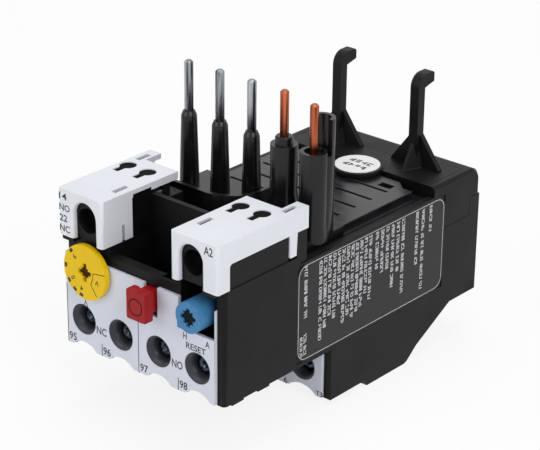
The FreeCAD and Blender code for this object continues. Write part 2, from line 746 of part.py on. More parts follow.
def add_stepped_socket(body):
    """Socket of the fourth pin: a flared foot, a wide tube and a narrower one that rises out of it."""
    place = pin_place(3)
    low = "socket_deck - 1"
    rod(body, "Additive", "SocketFoot", "z", place, (low, "socket_deck + socket_flare"), "socket_foot", "socket_outer")
    rod(body, "Additive", "WideTube", "z", place, (low, "stepped_shoulder"), "socket_outer")
    rod(body, "Additive", "NarrowTube", "z", place, (low, "stepped_top - 0.3"), "socket_inner")
    rod(body, "Additive", "NarrowTip", "z", place, ("stepped_top - 0.3", "stepped_top"),
        "socket_inner", "socket_inner - 0.3")


def add_recessed_socket(body):
    """Socket of the last pin: a tube with a recess at its top and a tall half tube behind it."""
    x, y = pin_place(4)
    low = "socket_deck - 1"
    behind = f"({y} + guard_back)"
    rod(body, "Additive", "Guard", "z", (x, behind), (low, "guard_top"), "guard_outer")
    rod(body, "Subtractive", "GuardHollow", "z", (x, behind), ("recessed_top - 1", "guard_top + 1"), "guard_inner")
    box(body, "Subtractive", "GuardFront", around(x, "3 * guard_outer"), (f"{y} - guard_outer", behind),
        ("recessed_top - 1", "guard_top + 1"))
    rod(body, "Additive", "LastFoot", "z", (x, y), (low, "socket_deck + 3"), "socket_outer + 0.5", "socket_outer")
    rod(body, "Additive", "LastTube", "z", (x, y), (low, "recessed_top"), "socket_outer")
    rod(body, "Subtractive", "Recess", "z", (x, y), ("recessed_top - recess_depth", "recessed_top + 1"),
        "recess_radius")


def make_top_plate():
    """Ribbed top plate that closes the gallery between the pin block and the rear cover."""
    body = new_body("top_plate")
    inner = f"({HALF} - casing_wall - seat_gap)"
    half = "(top_plate_width / 2)"
    front = "pin_block_end + seat_gap"
    box(body, "Additive", "Flange", (f"-{inner}", inner), (front, "cover_front - seat_gap"),
        ("gallery_ledge", "gallery_ledge + flange_thick"))
    slab(body, "Additive", "Plate", "XY_Plane", [
        (f"-{half}", front), (half, front), (half, "top_plate_end - 3"), (f"{half} - 2.6", "top_plate_end - 3"),
        (f"{half} - 5.2", "top_plate_end - 0.6"), (f"-({half} - 2)", "top_plate_end - 0.6"),
        (f"-{half}", "top_plate_end - 3"),
    ], "gallery_ledge + 0.5", "top_plate_level")
    for index in range(4):
        start = f"pin_block_end + {4 + 5.6 * index}"
        box(body, "Subtractive", f"Groove{index}", (f"-{half} + 2.2", f"{half} - 4"),
            (start, f"{start} + 0.7"), ("top_plate_level - 0.5", "top_plate_level + 1"))
    box(body, "Subtractive", "Window", (f"{half} - 8", f"{half} - 4.6"),
        ("top_plate_end - 5.4", "top_plate_end - 3.4"), ("top_plate_level - 1", "top_plate_level + 1"))
    return body


def make_rear_cover():
    """Rear cover: a cap over the casing's back with side tabs, a back lip and a rounded top edge."""
    body = new_body("rear_cover")
    box(body, "Additive", "Lid", (f"-({HALF})", HALF), ("cover_front", "body_depth"),
        ("deck_level", "cover_top"))
    for side in SIDES:
        tab = mirrored(side, f"{HALF} - cover_skin", HALF)
        box(body, "Additive", f"Tab{side}", tab, ("cover_front", "cover_tab_end"), ("cover_tab_foot", "cover_top"))
    box(body, "Additive", "BackLip", (f"-({HALF})", HALF), ("body_depth - cover_skin", "body_depth"),
        ("cover_rear_foot", "cover_top"))
    for side in SIDES:
        tab = mirrored(side, f"{HALF} - cover_skin", HALF)
        box(body, "Additive", f"TabRear{side}", tab, ("cover_tab_end - 1", "body_depth"),
            ("cover_rear_foot", "cover_top"))
    soften(body, "RearRound", "cover_round", "x", (f"-({HALF}) - 1", f"{HALF} + 1"),
           ("body_depth - 0.1", "body_depth + 0.1"), ("cover_top - 0.1", "cover_top + 0.1"))
    soften(body, "SideBevel", "0.7", "y", (f"-({HALF}) - 0.1", f"{HALF} + 0.1"),
           ("cover_front - 1", "body_depth + 1"), ("cover_top - 0.1", "cover_top + 0.1"), kind="Chamfer")
    half = "(bracket_width / 2 + seat_gap)"
    level = "cover_top - bracket_thick"
    box(body, "Subtractive", "BracketSeat", (f"-{half}", half), ("cover_front - 1", "bracket_end + seat_gap"),
        (level, "cover_top + 1"))
    for side in SIDES:
        ear = mirrored(side, "bracket_width / 2 - 5 - seat_gap", half)
        box(body, "Subtractive", f"EarSeat{side}", ear, ("bracket_end - 1", "bracket_ear_end + seat_gap"),
            (level, "cover_top + 1"))
    box(body, "Subtractive", "LabelSeat", (f"{HALF} - label_thick", f"{HALF} + 1"),
        ("label_start", "label_end"), ("label_foot", "label_top"))
    return body


def make_hook_bracket():
    """Bracket let into the rear cover, with the two hooks that hold the contactor."""
    body = new_body("hook_bracket")
    half = "(bracket_width / 2)"
    level = "cover_top - bracket_thick"
    ear = f"({half} - 5)"
    slab(body, "Additive", "Plate", "XY_Plane", [
        (f"-{half}", "cover_front"), (half, "cover_front"), (half, "bracket_ear_end"),
        (ear, "bracket_ear_end"), (ear, "bracket_end"), (f"-{ear}", "bracket_end"),
        (f"-{ear}", "bracket_ear_end"), (f"-{half}", "bracket_ear_end"),
    ], level, "cover_top")
    for side in SIDES:
        add_hook(body, side)
    rod(body, "Additive", "LabelBoss", "z", ("boss_x", "boss_y"), ("top_plate_level + seat_gap", "boss_top"),
        "boss_radius")
    return body


def add_hook(body, side):
    """One snap hook: a triangular web with a ridged rib, a flat post and a nose to the rear."""
    centre = f"({SIDES[side]} * hook_spacing / 2)"
    left, right = around(centre, "hook_width")
    rear = "(hook_front + hook_depth)"
    foot = "cover_top - 0.5"
    slab(body, "Additive", f"Hook{side}", "YZ_Plane", [
        ("hook_front", foot), (rear, foot), (rear, "hook_top - hook_nose_height - 0.8"),
        (f"{rear} + hook_nose", "hook_top - hook_nose_height"), (f"{rear} + hook_nose", "hook_top - 0.4"),
        (f"{rear} + hook_nose - 0.5", "hook_top"), ("hook_front", "hook_top"),
    ], left, right)
    soften(body, f"HookRound{side}", "hook_round", "x", (left, right), ("hook_front - 0.1", "hook_front + 0.1"),
           ("hook_top - 0.1", "hook_top + 0.1"))
    slab(body, "Additive", f"Web{side}", "XZ_Plane", [
        (f"{centre} - gusset_spread", foot), (f"{centre} + gusset_spread", foot),
        (f"{centre} + gusset_spread", "cover_top + 0.4"), (right, "gusset_top"), (left, "gusset_top"),
        (f"{centre} - gusset_spread", "cover_top + 0.4"),
    ], f"{rear} - gusset_thick", rear)
    inside = f"{rear} - gusset_thick / 2"
    base = outline(body, f"RibFoot{side}", "XY_Plane", foot, [
        (f"{centre} - rib_spread", inside), (f"{centre} - rib_ridge", "gusset_front"),
        (f"{centre} + rib_ridge", "gusset_front"), (f"{centre} + rib_spread", inside),
    ])
    head = outline(body, f"RibHead{side}", "XY_Plane", "rib_top", [
        (f"{centre} - hook_width / 2 + 0.1", inside), (f"{centre} - rib_ridge", "hook_front - 0.1"),
        (f"{centre} + rib_ridge", "hook_front - 0.1"), (f"{centre} + hook_width / 2 - 0.1", inside),
    ])
    loft = body.newObject("PartDesign::AdditiveLoft", f"Rib{side}")
    loft.Profile = base
    loft.Sections = [head]
    loft.Ruled = True


def make_front_plate():
    """White front plate with the four screw holes, a scalloped foot and the control notches."""
    body = new_body("front_plate")
    slab(body, "Additive", "Sheet", "XZ_Plane", [
        ("-plate_left", "plate_foot"), ("plate_right", "plate_foot"), ("plate_right", "plate_top"),
        ("-plate_left", "plate_top"),
    ], "-plate_thick", "0")
    across = ("-plate_thick - 1", "1")
    for index, name in enumerate(AUX_NAMES):
        rod(body, "Subtractive", f"Hole{name}", "y", (aux_x(index), "aux_height"), across, "plate_hole")
        rod(body, "Subtractive", f"Scallop{name}", "y",
            (aux_x(index), "plate_foot + scallop_rise - scallop_radius"), across, "scallop_radius")
    rod(body, "Subtractive", "DialHole", "y", ("-dial_x", "dial_z"), across, "dial_shaft + 0.6")
    box(body, "Subtractive", "DialNotch", around("-dial_x", "2 * dial_shaft + 1.2"), across,
        ("dial_z", "plate_top + 1"))
    box(body, "Subtractive", "TestNotch", around("test_x", "test_stem_width + 0.8"), across,
        ("test_z - test_stem_height / 2 - 1.4", "plate_top + 1"))
    box(body, "Subtractive", "ResetNotch", ("reset_slot_left", "plate_right - 0.1"), across,
        ("reset_slot_foot", "plate_top + 1"))
    return body


def make_load_plate():
    """White plate on the load block, with three screw holes and a scalloped foot."""
    body = new_body("load_plate")
    rear = "load_front"
    slab(body, "Additive", "Sheet", "XZ_Plane", [
        ("-plate_right", "plate_foot - load_foot"), ("plate_right", "plate_foot - load_foot"),
        ("plate_right", "-seat_gap"), ("-plate_right", "-seat_gap"),
    ], f"{rear} - plate_thick", rear)
    across = (f"{rear} - plate_thick - 1", f"{rear} + 1")
    for index in range(3):
        centre = pole_x(index)
        rod(body, "Subtractive", f"Hole{index}", "y", (centre, "-load_height"), across, "plate_hole")
        rod(body, "Subtractive", f"Scallop{index}", "y",
            (centre, "plate_foot - load_foot + scallop_rise - 1.2 * scallop_radius"), across,
            "1.2 * scallop_radius")
    return body


def make_pins():
    """Three plated contactor pins and two thinner copper pins, each with a bevelled tip."""
    made = []
    seats = ["sleeve_top", "sleeve_top", "sleeve_top", "stepped_top", "recessed_top - recess_depth"]
    for index, name in enumerate(("pin_2t1", "pin_4t2", "pin_6t3", "pin_14", "pin_a2")):
        body = new_body(name)
        radius = pin_radius(index)
        place = pin_place(index)
        tip = "(pin_tip - last_pin_drop)" if index == 4 else "pin_tip"
        rod(body, "Additive", "Shank", "z", place, ("pin_foot", seats[index]), f"{radius} - pin_step")
        rod(body, "Additive", "Contact", "z", place, (seats[index], f"{tip} - pin_bevel"), radius)
        rod(body, "Additive", "Tip", "z", place, (f"{tip} - pin_bevel", tip), radius, f"{radius} - pin_bevel")
        made.append(body)
    return made


def make_dial():
    """Yellow setting dial: a disc with a cross recess on a shaft with a flatted end."""
    body = new_body("dial")
    axis = ("-dial_x", "dial_z")
    shoulder = "works_front + 0.4"
    rear = f"{shoulder} + cam_thick + seat_gap"
    rod(body, "Additive", "Disc", "y", axis, ("-dial_front", "dial_thick - dial_front"), "dial_radius")
    rod(body, "Additive", "Shaft", "y", axis, ("dial_thick - dial_front", shoulder), "dial_shaft")
    rod(body, "Additive", "Spigot", "y", axis, (shoulder, rear), "dial_spigot")
    for name, wide, tall in (("CrossTall", "1.1", "4.2"), ("CrossWide", "3.6", "1.1")):
        box(body, "Subtractive", name, around("-dial_x", wide), ("-dial_front - 1", "0.9 - dial_front"),
            around("dial_z", tall))
    box(body, "Subtractive", "SpigotFlat", around("-dial_x", "3 * dial_spigot"), (shoulder, f"{rear} + 1"),
        ("dial_z + dial_spigot * 0.6", "dial_z + 2 * dial_spigot"))
    return body


def make_setting_cam():
    """Eccentric cam on the flatted end of the dial's shaft."""
    body = new_body("setting_cam")
    start = "works_front + 0.5"
    span = (start, f"{start} + cam_thick")
    rod(body, "Additive", "Disc", "y", ("cam_offset - dial_x", "dial_z"), span, "cam_radius")
    rod(body, "Subtractive", "Eye", "y", ("-dial_x", "dial_z"), (f"{start} - 1", f"{start} + cam_thick + 1"),
        "dial_spigot")
    box(body, "Additive", "EyeFlat", around("-dial_x", "1.6 * dial_spigot"), span,
        ("dial_z + dial_spigot * 0.6", "dial_z + dial_spigot"))
    return body


def make_test_button():
    """Red button: a wide face with a notched top, a stem through the rail and a push rod."""
    body = new_body("test_button")
    front = "-test_front"
    face_rear = "test_face - test_front"
    stem_rear = "rail_depth + 2.6"
    box(body, "Additive", "Face", around("test_x", "test_width"), (front, face_rear),
        around("test_z", "test_height"))
    box(body, "Additive", "Stem", around("test_x", "test_stem_width"), (face_rear, stem_rear),
        around("test_z", "test_stem_height"))
    rod(body, "Additive", "PushRod", "y", ("test_x", "rod_height"), (stem_rear, "works_front + 1.8"),
        "test_rod")
    top = "test_z + test_height / 2"
    slab(body, "Subtractive", "TopNotch", "XZ_Plane", [
        ("test_x - 1.2", f"{top} + 0.2"), ("test_x", f"{top} - 0.9"), ("test_x + 1.2", f"{top} + 0.2"),
    ], f"{front} - 1", f"{face_rear} + 0.1")
    rod(body, "Subtractive", "RingOuter", "y", ("test_x", "test_z"), (f"{front} - 1", f"{front} + 0.25"), "1.6")
    rod(body, "Additive", "RingInner", "y", ("test_x", "test_z"), (front, f"{front} + 0.3"), "1.35")
    soften(body, "FaceCorners", "0.4", "y", around("test_x", "test_width + 0.1"),
           (f"{front} - 0.1", face_rear), around("test_z", "test_height + 0.1"))
    return body


def make_reset_knob():
    """Blue reset knob: a round head with a pointer at its lower left and a star-shaped recess."""
    body = new_body("reset_knob")
    axis = ("reset_x", "reset_z")
    front = "-reset_front"
    rod(body, "Additive", "Head", "y", axis, (front, "reset_back"), "reset_radius")
    reach = "(reset_tip * 0.7071)"
    flank = "(reset_radius * 0.7071)"
    slab(body, "Additive", "Pointer", "XZ_Plane", [
        (f"reset_x - {reach}", f"reset_z - {reach}"), (f"reset_x + {flank} - 1.6", f"reset_z - {flank} - 0.7"),
        ("reset_x", "reset_z"), (f"reset_x - {flank} - 0.7", f"reset_z + {flank} - 1.6"),
    ], front, f"{front} + 1.9")
    for name, wide, tall in (("CrossTall", "1.0", "4.0"), ("CrossWide", "4.0", "1.0")):
        box(body, "Subtractive", name, around("reset_x", wide), (f"{front} - 1", f"{front} + 1.2"),
            around("reset_z", tall))
    rod(body, "Subtractive", "Socket", "y", axis, ("-0.7", "reset_back + 1"), "reset_spigot + 0.06")
    return body


def make_reset_plunger():
    """Plunger that the knob turns on and pushes back against the contact carrier."""
    body = new_body("reset_plunger")
    axis = ("reset_x", "reset_z")
    shoulder = "reset_back + seat_gap"
    rod(body, "Additive", "Spigot", "y", axis, ("-0.5", shoulder), "reset_spigot")
    rod(body, "Additive", "Shaft", "y", axis, (shoulder, "works_front + 2.1"), "reset_shaft")
    return body


SIX_TURNS = [math.radians(60 * step) for step in range(7)]


def make_spring(label, axis, span, coil, wire, turns):
    """A coil spring along Y, as a six-sided wire swept along a helix."""
    start, end = value(span[0]) + wire, value(span[1]) - wire
    helix = Part.makeHelix((end - start) / turns, end - start, coil)
    corners = [Vector(coil + wire * math.cos(turn), 0, wire * math.sin(turn)) for turn in SIX_TURNS]
    profile = Part.makePolygon(corners)
    wire_solid = Part.Wire(helix).makePipeShell([profile], True, True)
    spring = doc.addObject("Part::Feature", label)
    wire_solid.Placement = Placement(Vector(value(axis[0]), start, value(axis[1])), TURN["y"])
    spring.Shape = wire_solid.copy()
    spring.Shape = Part.makeCompound([wire_solid]).Solids[0]
    spring.Label = label
    spring.Placement = Placement(Vector(0, value(PLACE_Y), value(PLACE_Z)), Rotation()).multiply(spring.Placement)
    return spring


def make_screws(label, places, start):
    """Terminal screws in one node: pan head with a cross recess, and a plain shank."""
    body = new_body(label)
    head_rear = f"{start} + screw_head_depth"
    for number, (x, z) in enumerate(places):
        rod(body, "Additive", f"Head{number}", "y", (x, z), (start, head_rear), "screw_head - 0.3", "screw_head")
        rod(body, "Additive", f"Shank{number}", "y", (x, z), (head_rear, f"{start} + screw_length"), "screw_shank")
        for name, wide, tall in (("Slot", "0.7", "3.2"), ("Cross", "3.2", "0.7")):
            box(body, "Subtractive", f"{name}{number}", around(x, wide), (f"{start} - 1", f"{start} + 0.9"),
                around(z, tall))
    return body


def make_clamps(label, places, start, size, window):
    """Cage clamps in one node, each with the screw's bore and a window for the wire."""
    body = new_body(label)
    wide, tall = size
    for number, (x, z) in enumerate(places):
        depth = (start, f"{start} + clamp_depth + 0.6")
        box(body, "Additive", f"Cage{number}", around(x, wide), depth, around(z, tall))
        box(body, "Subtractive", f"Window{number}", around(x, window), (f"{start} + 1.2", f"{start} + 4.4"),
            (f"{z} - ({tall}) / 2 - 1", f"{z} + ({tall}) / 2 - 1"))
        rod(body, "Subtractive", f"Bore{number}", "y", (x, z), (f"{start} - 1", f"{start} + clamp_depth + 1"),
            "screw_shank")
    return body


def make_contact_strips():
    """Four strips from the auxiliary clamps, each ending in an upright tab with a fixed contact."""
    made = []
    for index, name in enumerate(AUX_NAMES):
        body = new_body(f"strip_{name}")
        wide = around(aux_x(index), "strip_width")
        foot = "aux_height - strip_thick / 2"
        closed = index < 2
        tab = "22.6" if closed else "18.6"
        root = "funnel_depth + 8.4"
        box(body, "Additive", "Root", wide, (root, f"{root} + strip_thick"), ("4.5", "9.9"))
        box(body, "Additive", "Run", wide, (root, f"{tab} + strip_thick"), (foot, f"{foot} + strip_thick"))
        box(body, "Additive", "Tab", wide, (tab, f"{tab} + strip_thick"), (foot, "contact_level + 1.1"))
        pad = (f"{tab} - 0.6", tab) if closed else (f"{tab} + strip_thick", f"{tab} + strip_thick + 0.6")
        rod(body, "Additive", "Contact", "y", (aux_x(index), "contact_level"), pad, "contact_pad")
        made.append(body)
    return made


def make_bridges():
    """The two bridging contacts: 95 to 96 closed at rest, 97 to 98 open at rest."""
    made = []
    for label, pair, bar, pad in (
        ("bridge_nc", (0, 1), ("20.6", "21.4"), ("21.4", "21.9")),
        ("bridge_no", (2, 3), ("22.2", "23.0"), ("21.6", "22.2")),
    ):
        body = new_body(label)
        ends = (f"{aux_x(pair[0])} - contact_pad", f"{aux_x(pair[1])} + contact_pad")
        box(body, "Additive", "Bar", ends, bar, around("contact_level", "2 * contact_pad"))
        for index in pair:
            rod(body, "Additive", f"Contact{index}", "y", (aux_x(index), "contact_level"), pad, "contact_pad")
        made.append(body)
    return made


def make_carrier():
    """Contact carrier: a beam with a finger round each bridge, a trip peg and a reset peg."""
    body = new_body("contact_carrier")
    beam = ("25.4", "27.4")
    finger = around("contact_level", "3.6")
    box(body, "Additive", "Beam", ("-13.6", "16.5"), beam, ("carrier_floor", "carrier_roof"))
    box(body, "Additive", "ClosedFinger", ("-13.6", "-10.9"), ("19.8", beam[0]), finger)
    box(body, "Additive", "OpenFinger", ("9", "11.7"), ("21.4", beam[0]), finger)
    box(body, "Additive", "PegRoot", ("2", "4"), ("20.9", beam[1]), ("contact_level + 1.6", "carrier_roof + 1"))
    box(body, "Additive", "TripPeg", ("2", "4"), ("20.9", "22.9"), ("carrier_roof", "slider_level + 1.6"))
    box(body, "Additive", "ResetPost", ("13.5", "16.5"), beam, ("carrier_roof - 1", "slider_level + 1.6"))
    box(body, "Additive", "ResetPeg", ("13.5", "16.5"), ("21.3", beam[1]), ("slider_level - 1.6", "slider_level + 1.6"))
    for name, bar in (("ClosedSeat", ("20.6", "21.4")), ("OpenSeat", ("22.2", "23.0"))):
        box(body, "Subtractive", name, ("-14", "12"), bar, around("contact_level", "2 * contact_pad"))
    return body


def make_trip_lever():
    """Trip lever: turned by the slider's nose at its tail, it pushes the carrier's trip peg."""
    body = new_body("trip_lever")
    level = ("slider_level", "slider_level + slider_thick")
    pivot = ("-lever_pivot_x", "lever_pivot_y")
    slab(body, "Additive", "Blade", "XY_Plane", [
        ("-lever_pivot_x - 1.9", "lever_pivot_y - 1.5"), ("2 - lever_pivot_x", "lever_pivot_y - 1.5"),
        ("2 - lever_pivot_x", "23.2"), ("5", "23.2"), ("5", "25.2"), ("0.3 - lever_pivot_x", "25.2"),
        ("0.3 - lever_pivot_x", "28.2"), ("-lever_pivot_x - 1.9", "28.2"),
    ], *level)
    rod(body, "Subtractive", "Eye", "z", pivot, ("slider_level - 1", "slider_level + 4"), "lever_pin + 0.05")
    return body


def make_pivot_pin():
    """Stepped steel pin that carries the trip lever."""
    body = new_body("pivot_pin")
    pivot = ("-lever_pivot_x", "lever_pivot_y")
    rod(body, "Additive", "Pin", "z", pivot, ("works_floor", "slider_level + slider_thick + 0.4"), "lever_pin")
    rod(body, "Additive", "Collar", "z", pivot, ("carrier_roof + 0.6", "slider_level - fit_gap"), "lever_pin + 0.8")
    return body


def make_trip_slider():
    """Trip slider: a slotted bar round the three bimetal tips, with an arm to the trip lever."""
    body = new_body("trip_slider")
    level = ("slider_level", "slider_level + slider_thick")
    left = "-pole_pitch - 4.4"
    slab(body, "Additive", "Blade", "XY_Plane", [
        (left, "26"), ("-lever_pivot_x - 2.2", "26"), ("-lever_pivot_x - 2.2", "28.2"),
        (f"{left} + 2", "28.2"), (f"{left} + 2", "bimetal_y - 3.2"),
        ("pole_pitch + 2.9", "bimetal_y - 3.2"), ("pole_pitch + 2.9", "bimetal_y + 3.2"),
        (left, "bimetal_y + 3.2"),
    ], *level)
    for index in range(3):
        box(body, "Subtractive", f"Slot{index}", around(pole_x(index), "bimetal_thick + 2 * fit_gap"),
            around("bimetal_y", "bimetal_width + 2 * fit_gap"), ("slider_level - 1", "slider_level + 4"))
    return body


def make_pole(index):
    """One pole's bimetal strip, heater winding, lead from the pin and bar to the load clamp."""
    centre = pole_x(index)
    strip = new_body(f"bimetal_{index + 1}")
    root = "bimetal_thick / 2 - bimetal_foot"
    box(strip, "Additive", "Strip", around(centre, "bimetal_thick"), around("bimetal_y", "bimetal_width"),
        (root, "bimetal_tip"))
    rod(strip, "Additive", "Root", "y", (centre, root), around("bimetal_y", "bimetal_width"), "bimetal_thick / 2")
    heater = new_body(f"heater_{index + 1}")
    sleeve = ("bimetal_thick + heater_thick", "bimetal_width + heater_thick")
    box(heater, "Additive", "Sleeve", around(centre, sleeve[0]), around("bimetal_y", sleeve[1]),
        ("-heater_foot", "heater_top"))
    for turn in range(8):
        low = f"-heater_foot + {turn + 0.5} * 2 * heater_turn"
        box(heater, "Additive", f"Turn{turn}", around(centre, f"{sleeve[0]} + heater_turn"),
            around("bimetal_y", f"{sleeve[1]} + heater_turn"), (low, f"{low} + heater_turn"))
    box(heater, "Subtractive", "Core", around(centre, "bimetal_thick"), around("bimetal_y", "bimetal_width"),
        ("-heater_foot - 1", "heater_top + 3"))
    lead = new_body(f"lead_{index + 1}")
    pin = f"(pin_pitch * {index - 2})"
    end = "(bimetal_y - bimetal_width / 2 - 2)"
    roof = "(gallery_ledge - seat_gap)"
    slab(lead, "Additive", "Run", "XY_Plane", [
        (f"{pin} - 1.5", "pin_y - 1.5"), (f"{pin} + 1.5", "pin_y - 1.5"),
        (f"{centre} + 1", end), (f"{centre} - 1", end),
    ], f"{roof} - strip_thick", roof)
    box(lead, "Additive", "Drop", around(centre, "2"), (f"{end} - strip_thick", end), ("heater_top - 2", roof))
    bar = new_body(f"load_bar_{index + 1}")
    low = "fit_gap - pole_bay_floor"
    root = "load_front + 12.6"
    box(bar, "Additive", "Foot", around(centre, "5"), (root, "bimetal_y + 3"), (low, "-bimetal_foot - fit_gap"))
    box(bar, "Additive", "Tab", around(centre, "6"), (root, f"{root} + 1.2"), (low, "3 - load_height"))
    return [strip, heater, lead, bar]


def make_pass_leads():
    """Copper leads from the two pass-through pins: forward, up into a tower and to its clamp."""
    made = []
    roof = "(gallery_ledge - seat_gap)"
    level = (f"{roof} - strip_thick", roof)
    rise = ("18.9", "18.9 + strip_thick")
    for index, side in ((1, "left"), (2, "right")):
        body = new_body("pass_lead_14" if side == "left" else "pass_lead_a2")
        pin = f"(pin_pitch * {index})"
        tower = f"({SIDES[side]} * arch_x)"
        rail = (f"{tower} - 1.5", f"{pin} + 1.2")
        box(body, "Additive", "FromPin", around(pin, "2.4"), (rise[0], "pin_y + 1.2"), level)
        box(body, "Additive", "Across", rail, (rise[0], f"{rise[0]} + 2"), level)
        box(body, "Additive", "Rise", around(tower, "3"), rise, (level[0], "trough_floor + 1.1"))
        box(body, "Additive", "ToClamp", around(tower, "3"), ("16.8", rise[1]),
            ("trough_floor + 0.3", "trough_floor + 1.1"))
        made.append(body)
    return made


def make_labels():
    """Side label let into the casing, and the round sticker on the bracket's boss."""
    label = new_body("side_label")
    low = f"{HALF} - label_thick"
    box(label, "Additive", "Sheet", (low, HALF), ("label_start", "label_end"), ("label_foot", "label_top"))
    soften(label, "Corners", "label_corner", "x", (low, HALF), ("label_start - 1", "label_end + 1"),
           ("label_foot - 1", "label_top + 1"))
    sticker = new_body("round_sticker")
    rod(sticker, "Additive", "Disc", "z", ("boss_x", "boss_y"), ("boss_top", "boss_top + sticker_thick"),
        "sticker_radius")
    return [label, sticker]


def make_terminals():
    """Screws and cage clamps of the auxiliary, pass-through and load terminals."""
    aux = [(aux_x(index), "aux_height") for index in range(4)]
    load = [(pole_x(index), "-load_height") for index in range(3)]
    towers = [(f"({sign} * arch_x)", "(arch_height - 1)") for sign in SIDES.values()]
    return [
        make_screws("aux_screws", aux, "(funnel_depth + 0.3)"),
        make_clamps("aux_clamps", aux, "(funnel_depth + 2.6)", ("6.8", "6.4"), "aux_wire_width"),
        make_screws("load_screws", load, "(load_front + 4.2)"),
        make_clamps("load_clamps", load, "(load_front + 6.6)", ("9.2", "6.4"), "load_wire_width"),
        make_screws("pass_screws", towers, "(funnel_depth + 0.3)"),
        make_clamps("pass_clamps", towers, "(keyhole_y - 5.4)", ("9.6", "6"), "1"),
    ]


def build():
    made = [make_housing(), make_upper_housing(), make_pin_block(), make_top_plate(), make_rear_cover(),
            make_hook_bracket(), make_front_plate(), make_load_plate()]
    made += [make_cap(side) for side in SIDES]
    made += make_pins()
    made += [make_dial(), make_setting_cam(), make_test_button(), make_reset_knob(), make_reset_plunger()]
    made.append(make_spring("reset_spring", ("reset_x", "reset_z"),
                            ("reset_back + seat_gap", "reset_room - seat_gap"), 2.75, 0.2, 3))
    made.append(make_spring("test_spring", ("test_x", "rod_height"),
                            ("rail_depth + 2.7", "well_end - seat_gap"), 1.25, 0.15, 7))
    made += make_terminals()
    made += make_contact_strips()
    made += make_bridges()
    made += [make_carrier(), make_trip_lever(), make_pivot_pin(), make_trip_slider()]
    for index in range(3):
        made += make_pole(index)
    made += make_pass_leads()
    made += make_labels()
    return made


def check(made):
    """Stop if anything in the document failed, a cut removes nothing or a sub-part is invalid."""
    faults = [f"{thing.Name} {thing.State}" for thing in doc.Objects if {"Invalid", "Error"} & set(thing.State)]
    cuts = [thing for thing in doc.Objects if "Subtractive" in thing.TypeId or "Pocket" in thing.TypeId]
    for cut in cuts:
        if cut.BaseFeature.Shape.Volume - cut.Shape.Volume < 1e-4:
            faults.append(f"{cut.getParentGeoFeatureGroup().Label} {cut.Name} removes nothing")
    for part in made:
        if part.Shape.isNull() or not part.Shape.isValid() or not part.Shape.Solids:
            faults.append(f"{part.Label} has no valid solid")
    if faults:
        raise RuntimeError("; ".join(faults))


parts = build()
doc.recompute()
check(parts)
os.makedirs("parts", exist_ok=True)
for part in parts:
    part.Shape.exportStep(f"parts/{part.Label}.step")
    print(part.Label, len(part.Shape.Solids), round(part.Shape.Volume, 1))
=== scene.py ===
# %% [markdown]
# # Thermal overload relay: looks
# The solids of the relay come from CAD and stay as they are.  This file gives each of them the
# finish of the real part, cuts a few small forms into copies of them, adds prints and labels, and
# sets up the floor, the lamps and the camera.

# %% Load the relay
import json
import math
import random

import bmesh
import bpy
from mathutils import Matrix, Vector


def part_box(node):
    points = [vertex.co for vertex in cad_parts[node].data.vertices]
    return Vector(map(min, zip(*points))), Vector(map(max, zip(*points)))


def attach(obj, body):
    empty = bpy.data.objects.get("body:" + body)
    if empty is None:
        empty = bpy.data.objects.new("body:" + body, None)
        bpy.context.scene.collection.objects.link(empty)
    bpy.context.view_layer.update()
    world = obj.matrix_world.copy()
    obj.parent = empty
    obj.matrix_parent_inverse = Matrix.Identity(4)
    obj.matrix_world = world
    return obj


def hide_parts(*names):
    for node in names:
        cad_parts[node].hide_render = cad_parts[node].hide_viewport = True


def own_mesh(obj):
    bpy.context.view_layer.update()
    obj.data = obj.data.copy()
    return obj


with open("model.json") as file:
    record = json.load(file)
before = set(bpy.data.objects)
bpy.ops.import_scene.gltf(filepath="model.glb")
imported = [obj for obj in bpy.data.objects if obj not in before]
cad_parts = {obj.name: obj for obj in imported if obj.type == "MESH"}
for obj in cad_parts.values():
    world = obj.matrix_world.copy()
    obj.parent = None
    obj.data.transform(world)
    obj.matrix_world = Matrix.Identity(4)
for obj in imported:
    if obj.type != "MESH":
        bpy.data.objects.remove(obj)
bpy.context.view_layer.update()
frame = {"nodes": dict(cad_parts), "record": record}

# %% [markdown]
# ## Millimetres
# The frame is in metres, with its zero on the floor under the middle of the relay.  A relay is
# measured from the front face and the underside of its casing, and in millimetres.  Shifting every
# object would do, but the solids must stay put, so two small functions change the numbers instead.

# %% Places in the casing's own millimetres
MM = 0.001
CASING_SHIFT = Vector((0, -40.65, 13.9))


def at(x, y, z):
    """A point given in the casing's own millimetres: from its middle, front face and underside."""
    return (Vector((x, y, z)) + CASING_SHIFT) * MM


def box_mm(node):
    """The lower and the upper corner of a solid's box, in the casing's own millimetres."""
    return [[value / MM - shift for value, shift in zip(corner, CASING_SHIFT)]
            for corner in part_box(node)]


plate_face = box_mm("front_plate")[0][1]
load_face = box_mm("load_plate")[0][1]
cap_face = box_mm("cap_left")[0][1]
print("plates and caps face the front at", [round(face, 2) for face in (plate_face, load_face, cap_face)])

# %% [markdown]
# ## Helpers for materials
# Colours are written as sRGB hex, as a paint chart gives them.  Blender mixes light in linear
# values, so one function converts them.  Another adds a node, sets its inputs and links it: that
# keeps a material as short as the list of its nodes.

# %% Colour and node helpers
def srgb(code):
    """A hex colour such as 1b1b1c as linear red, green, blue and alpha."""
    channels = [int(code[i:i + 2], 16) / 255 for i in (0, 2, 4)]
    return tuple(c / 12.92 if c <= 0.04045 else ((c + 0.055) / 1.055) ** 2.4 for c in channels) + (1,)


def set_inputs(node, **values):
    """Set a node's inputs by name, with _ for a space."""
    for name, setting in values.items():
        node.inputs[name.replace("_", " ")].default_value = setting


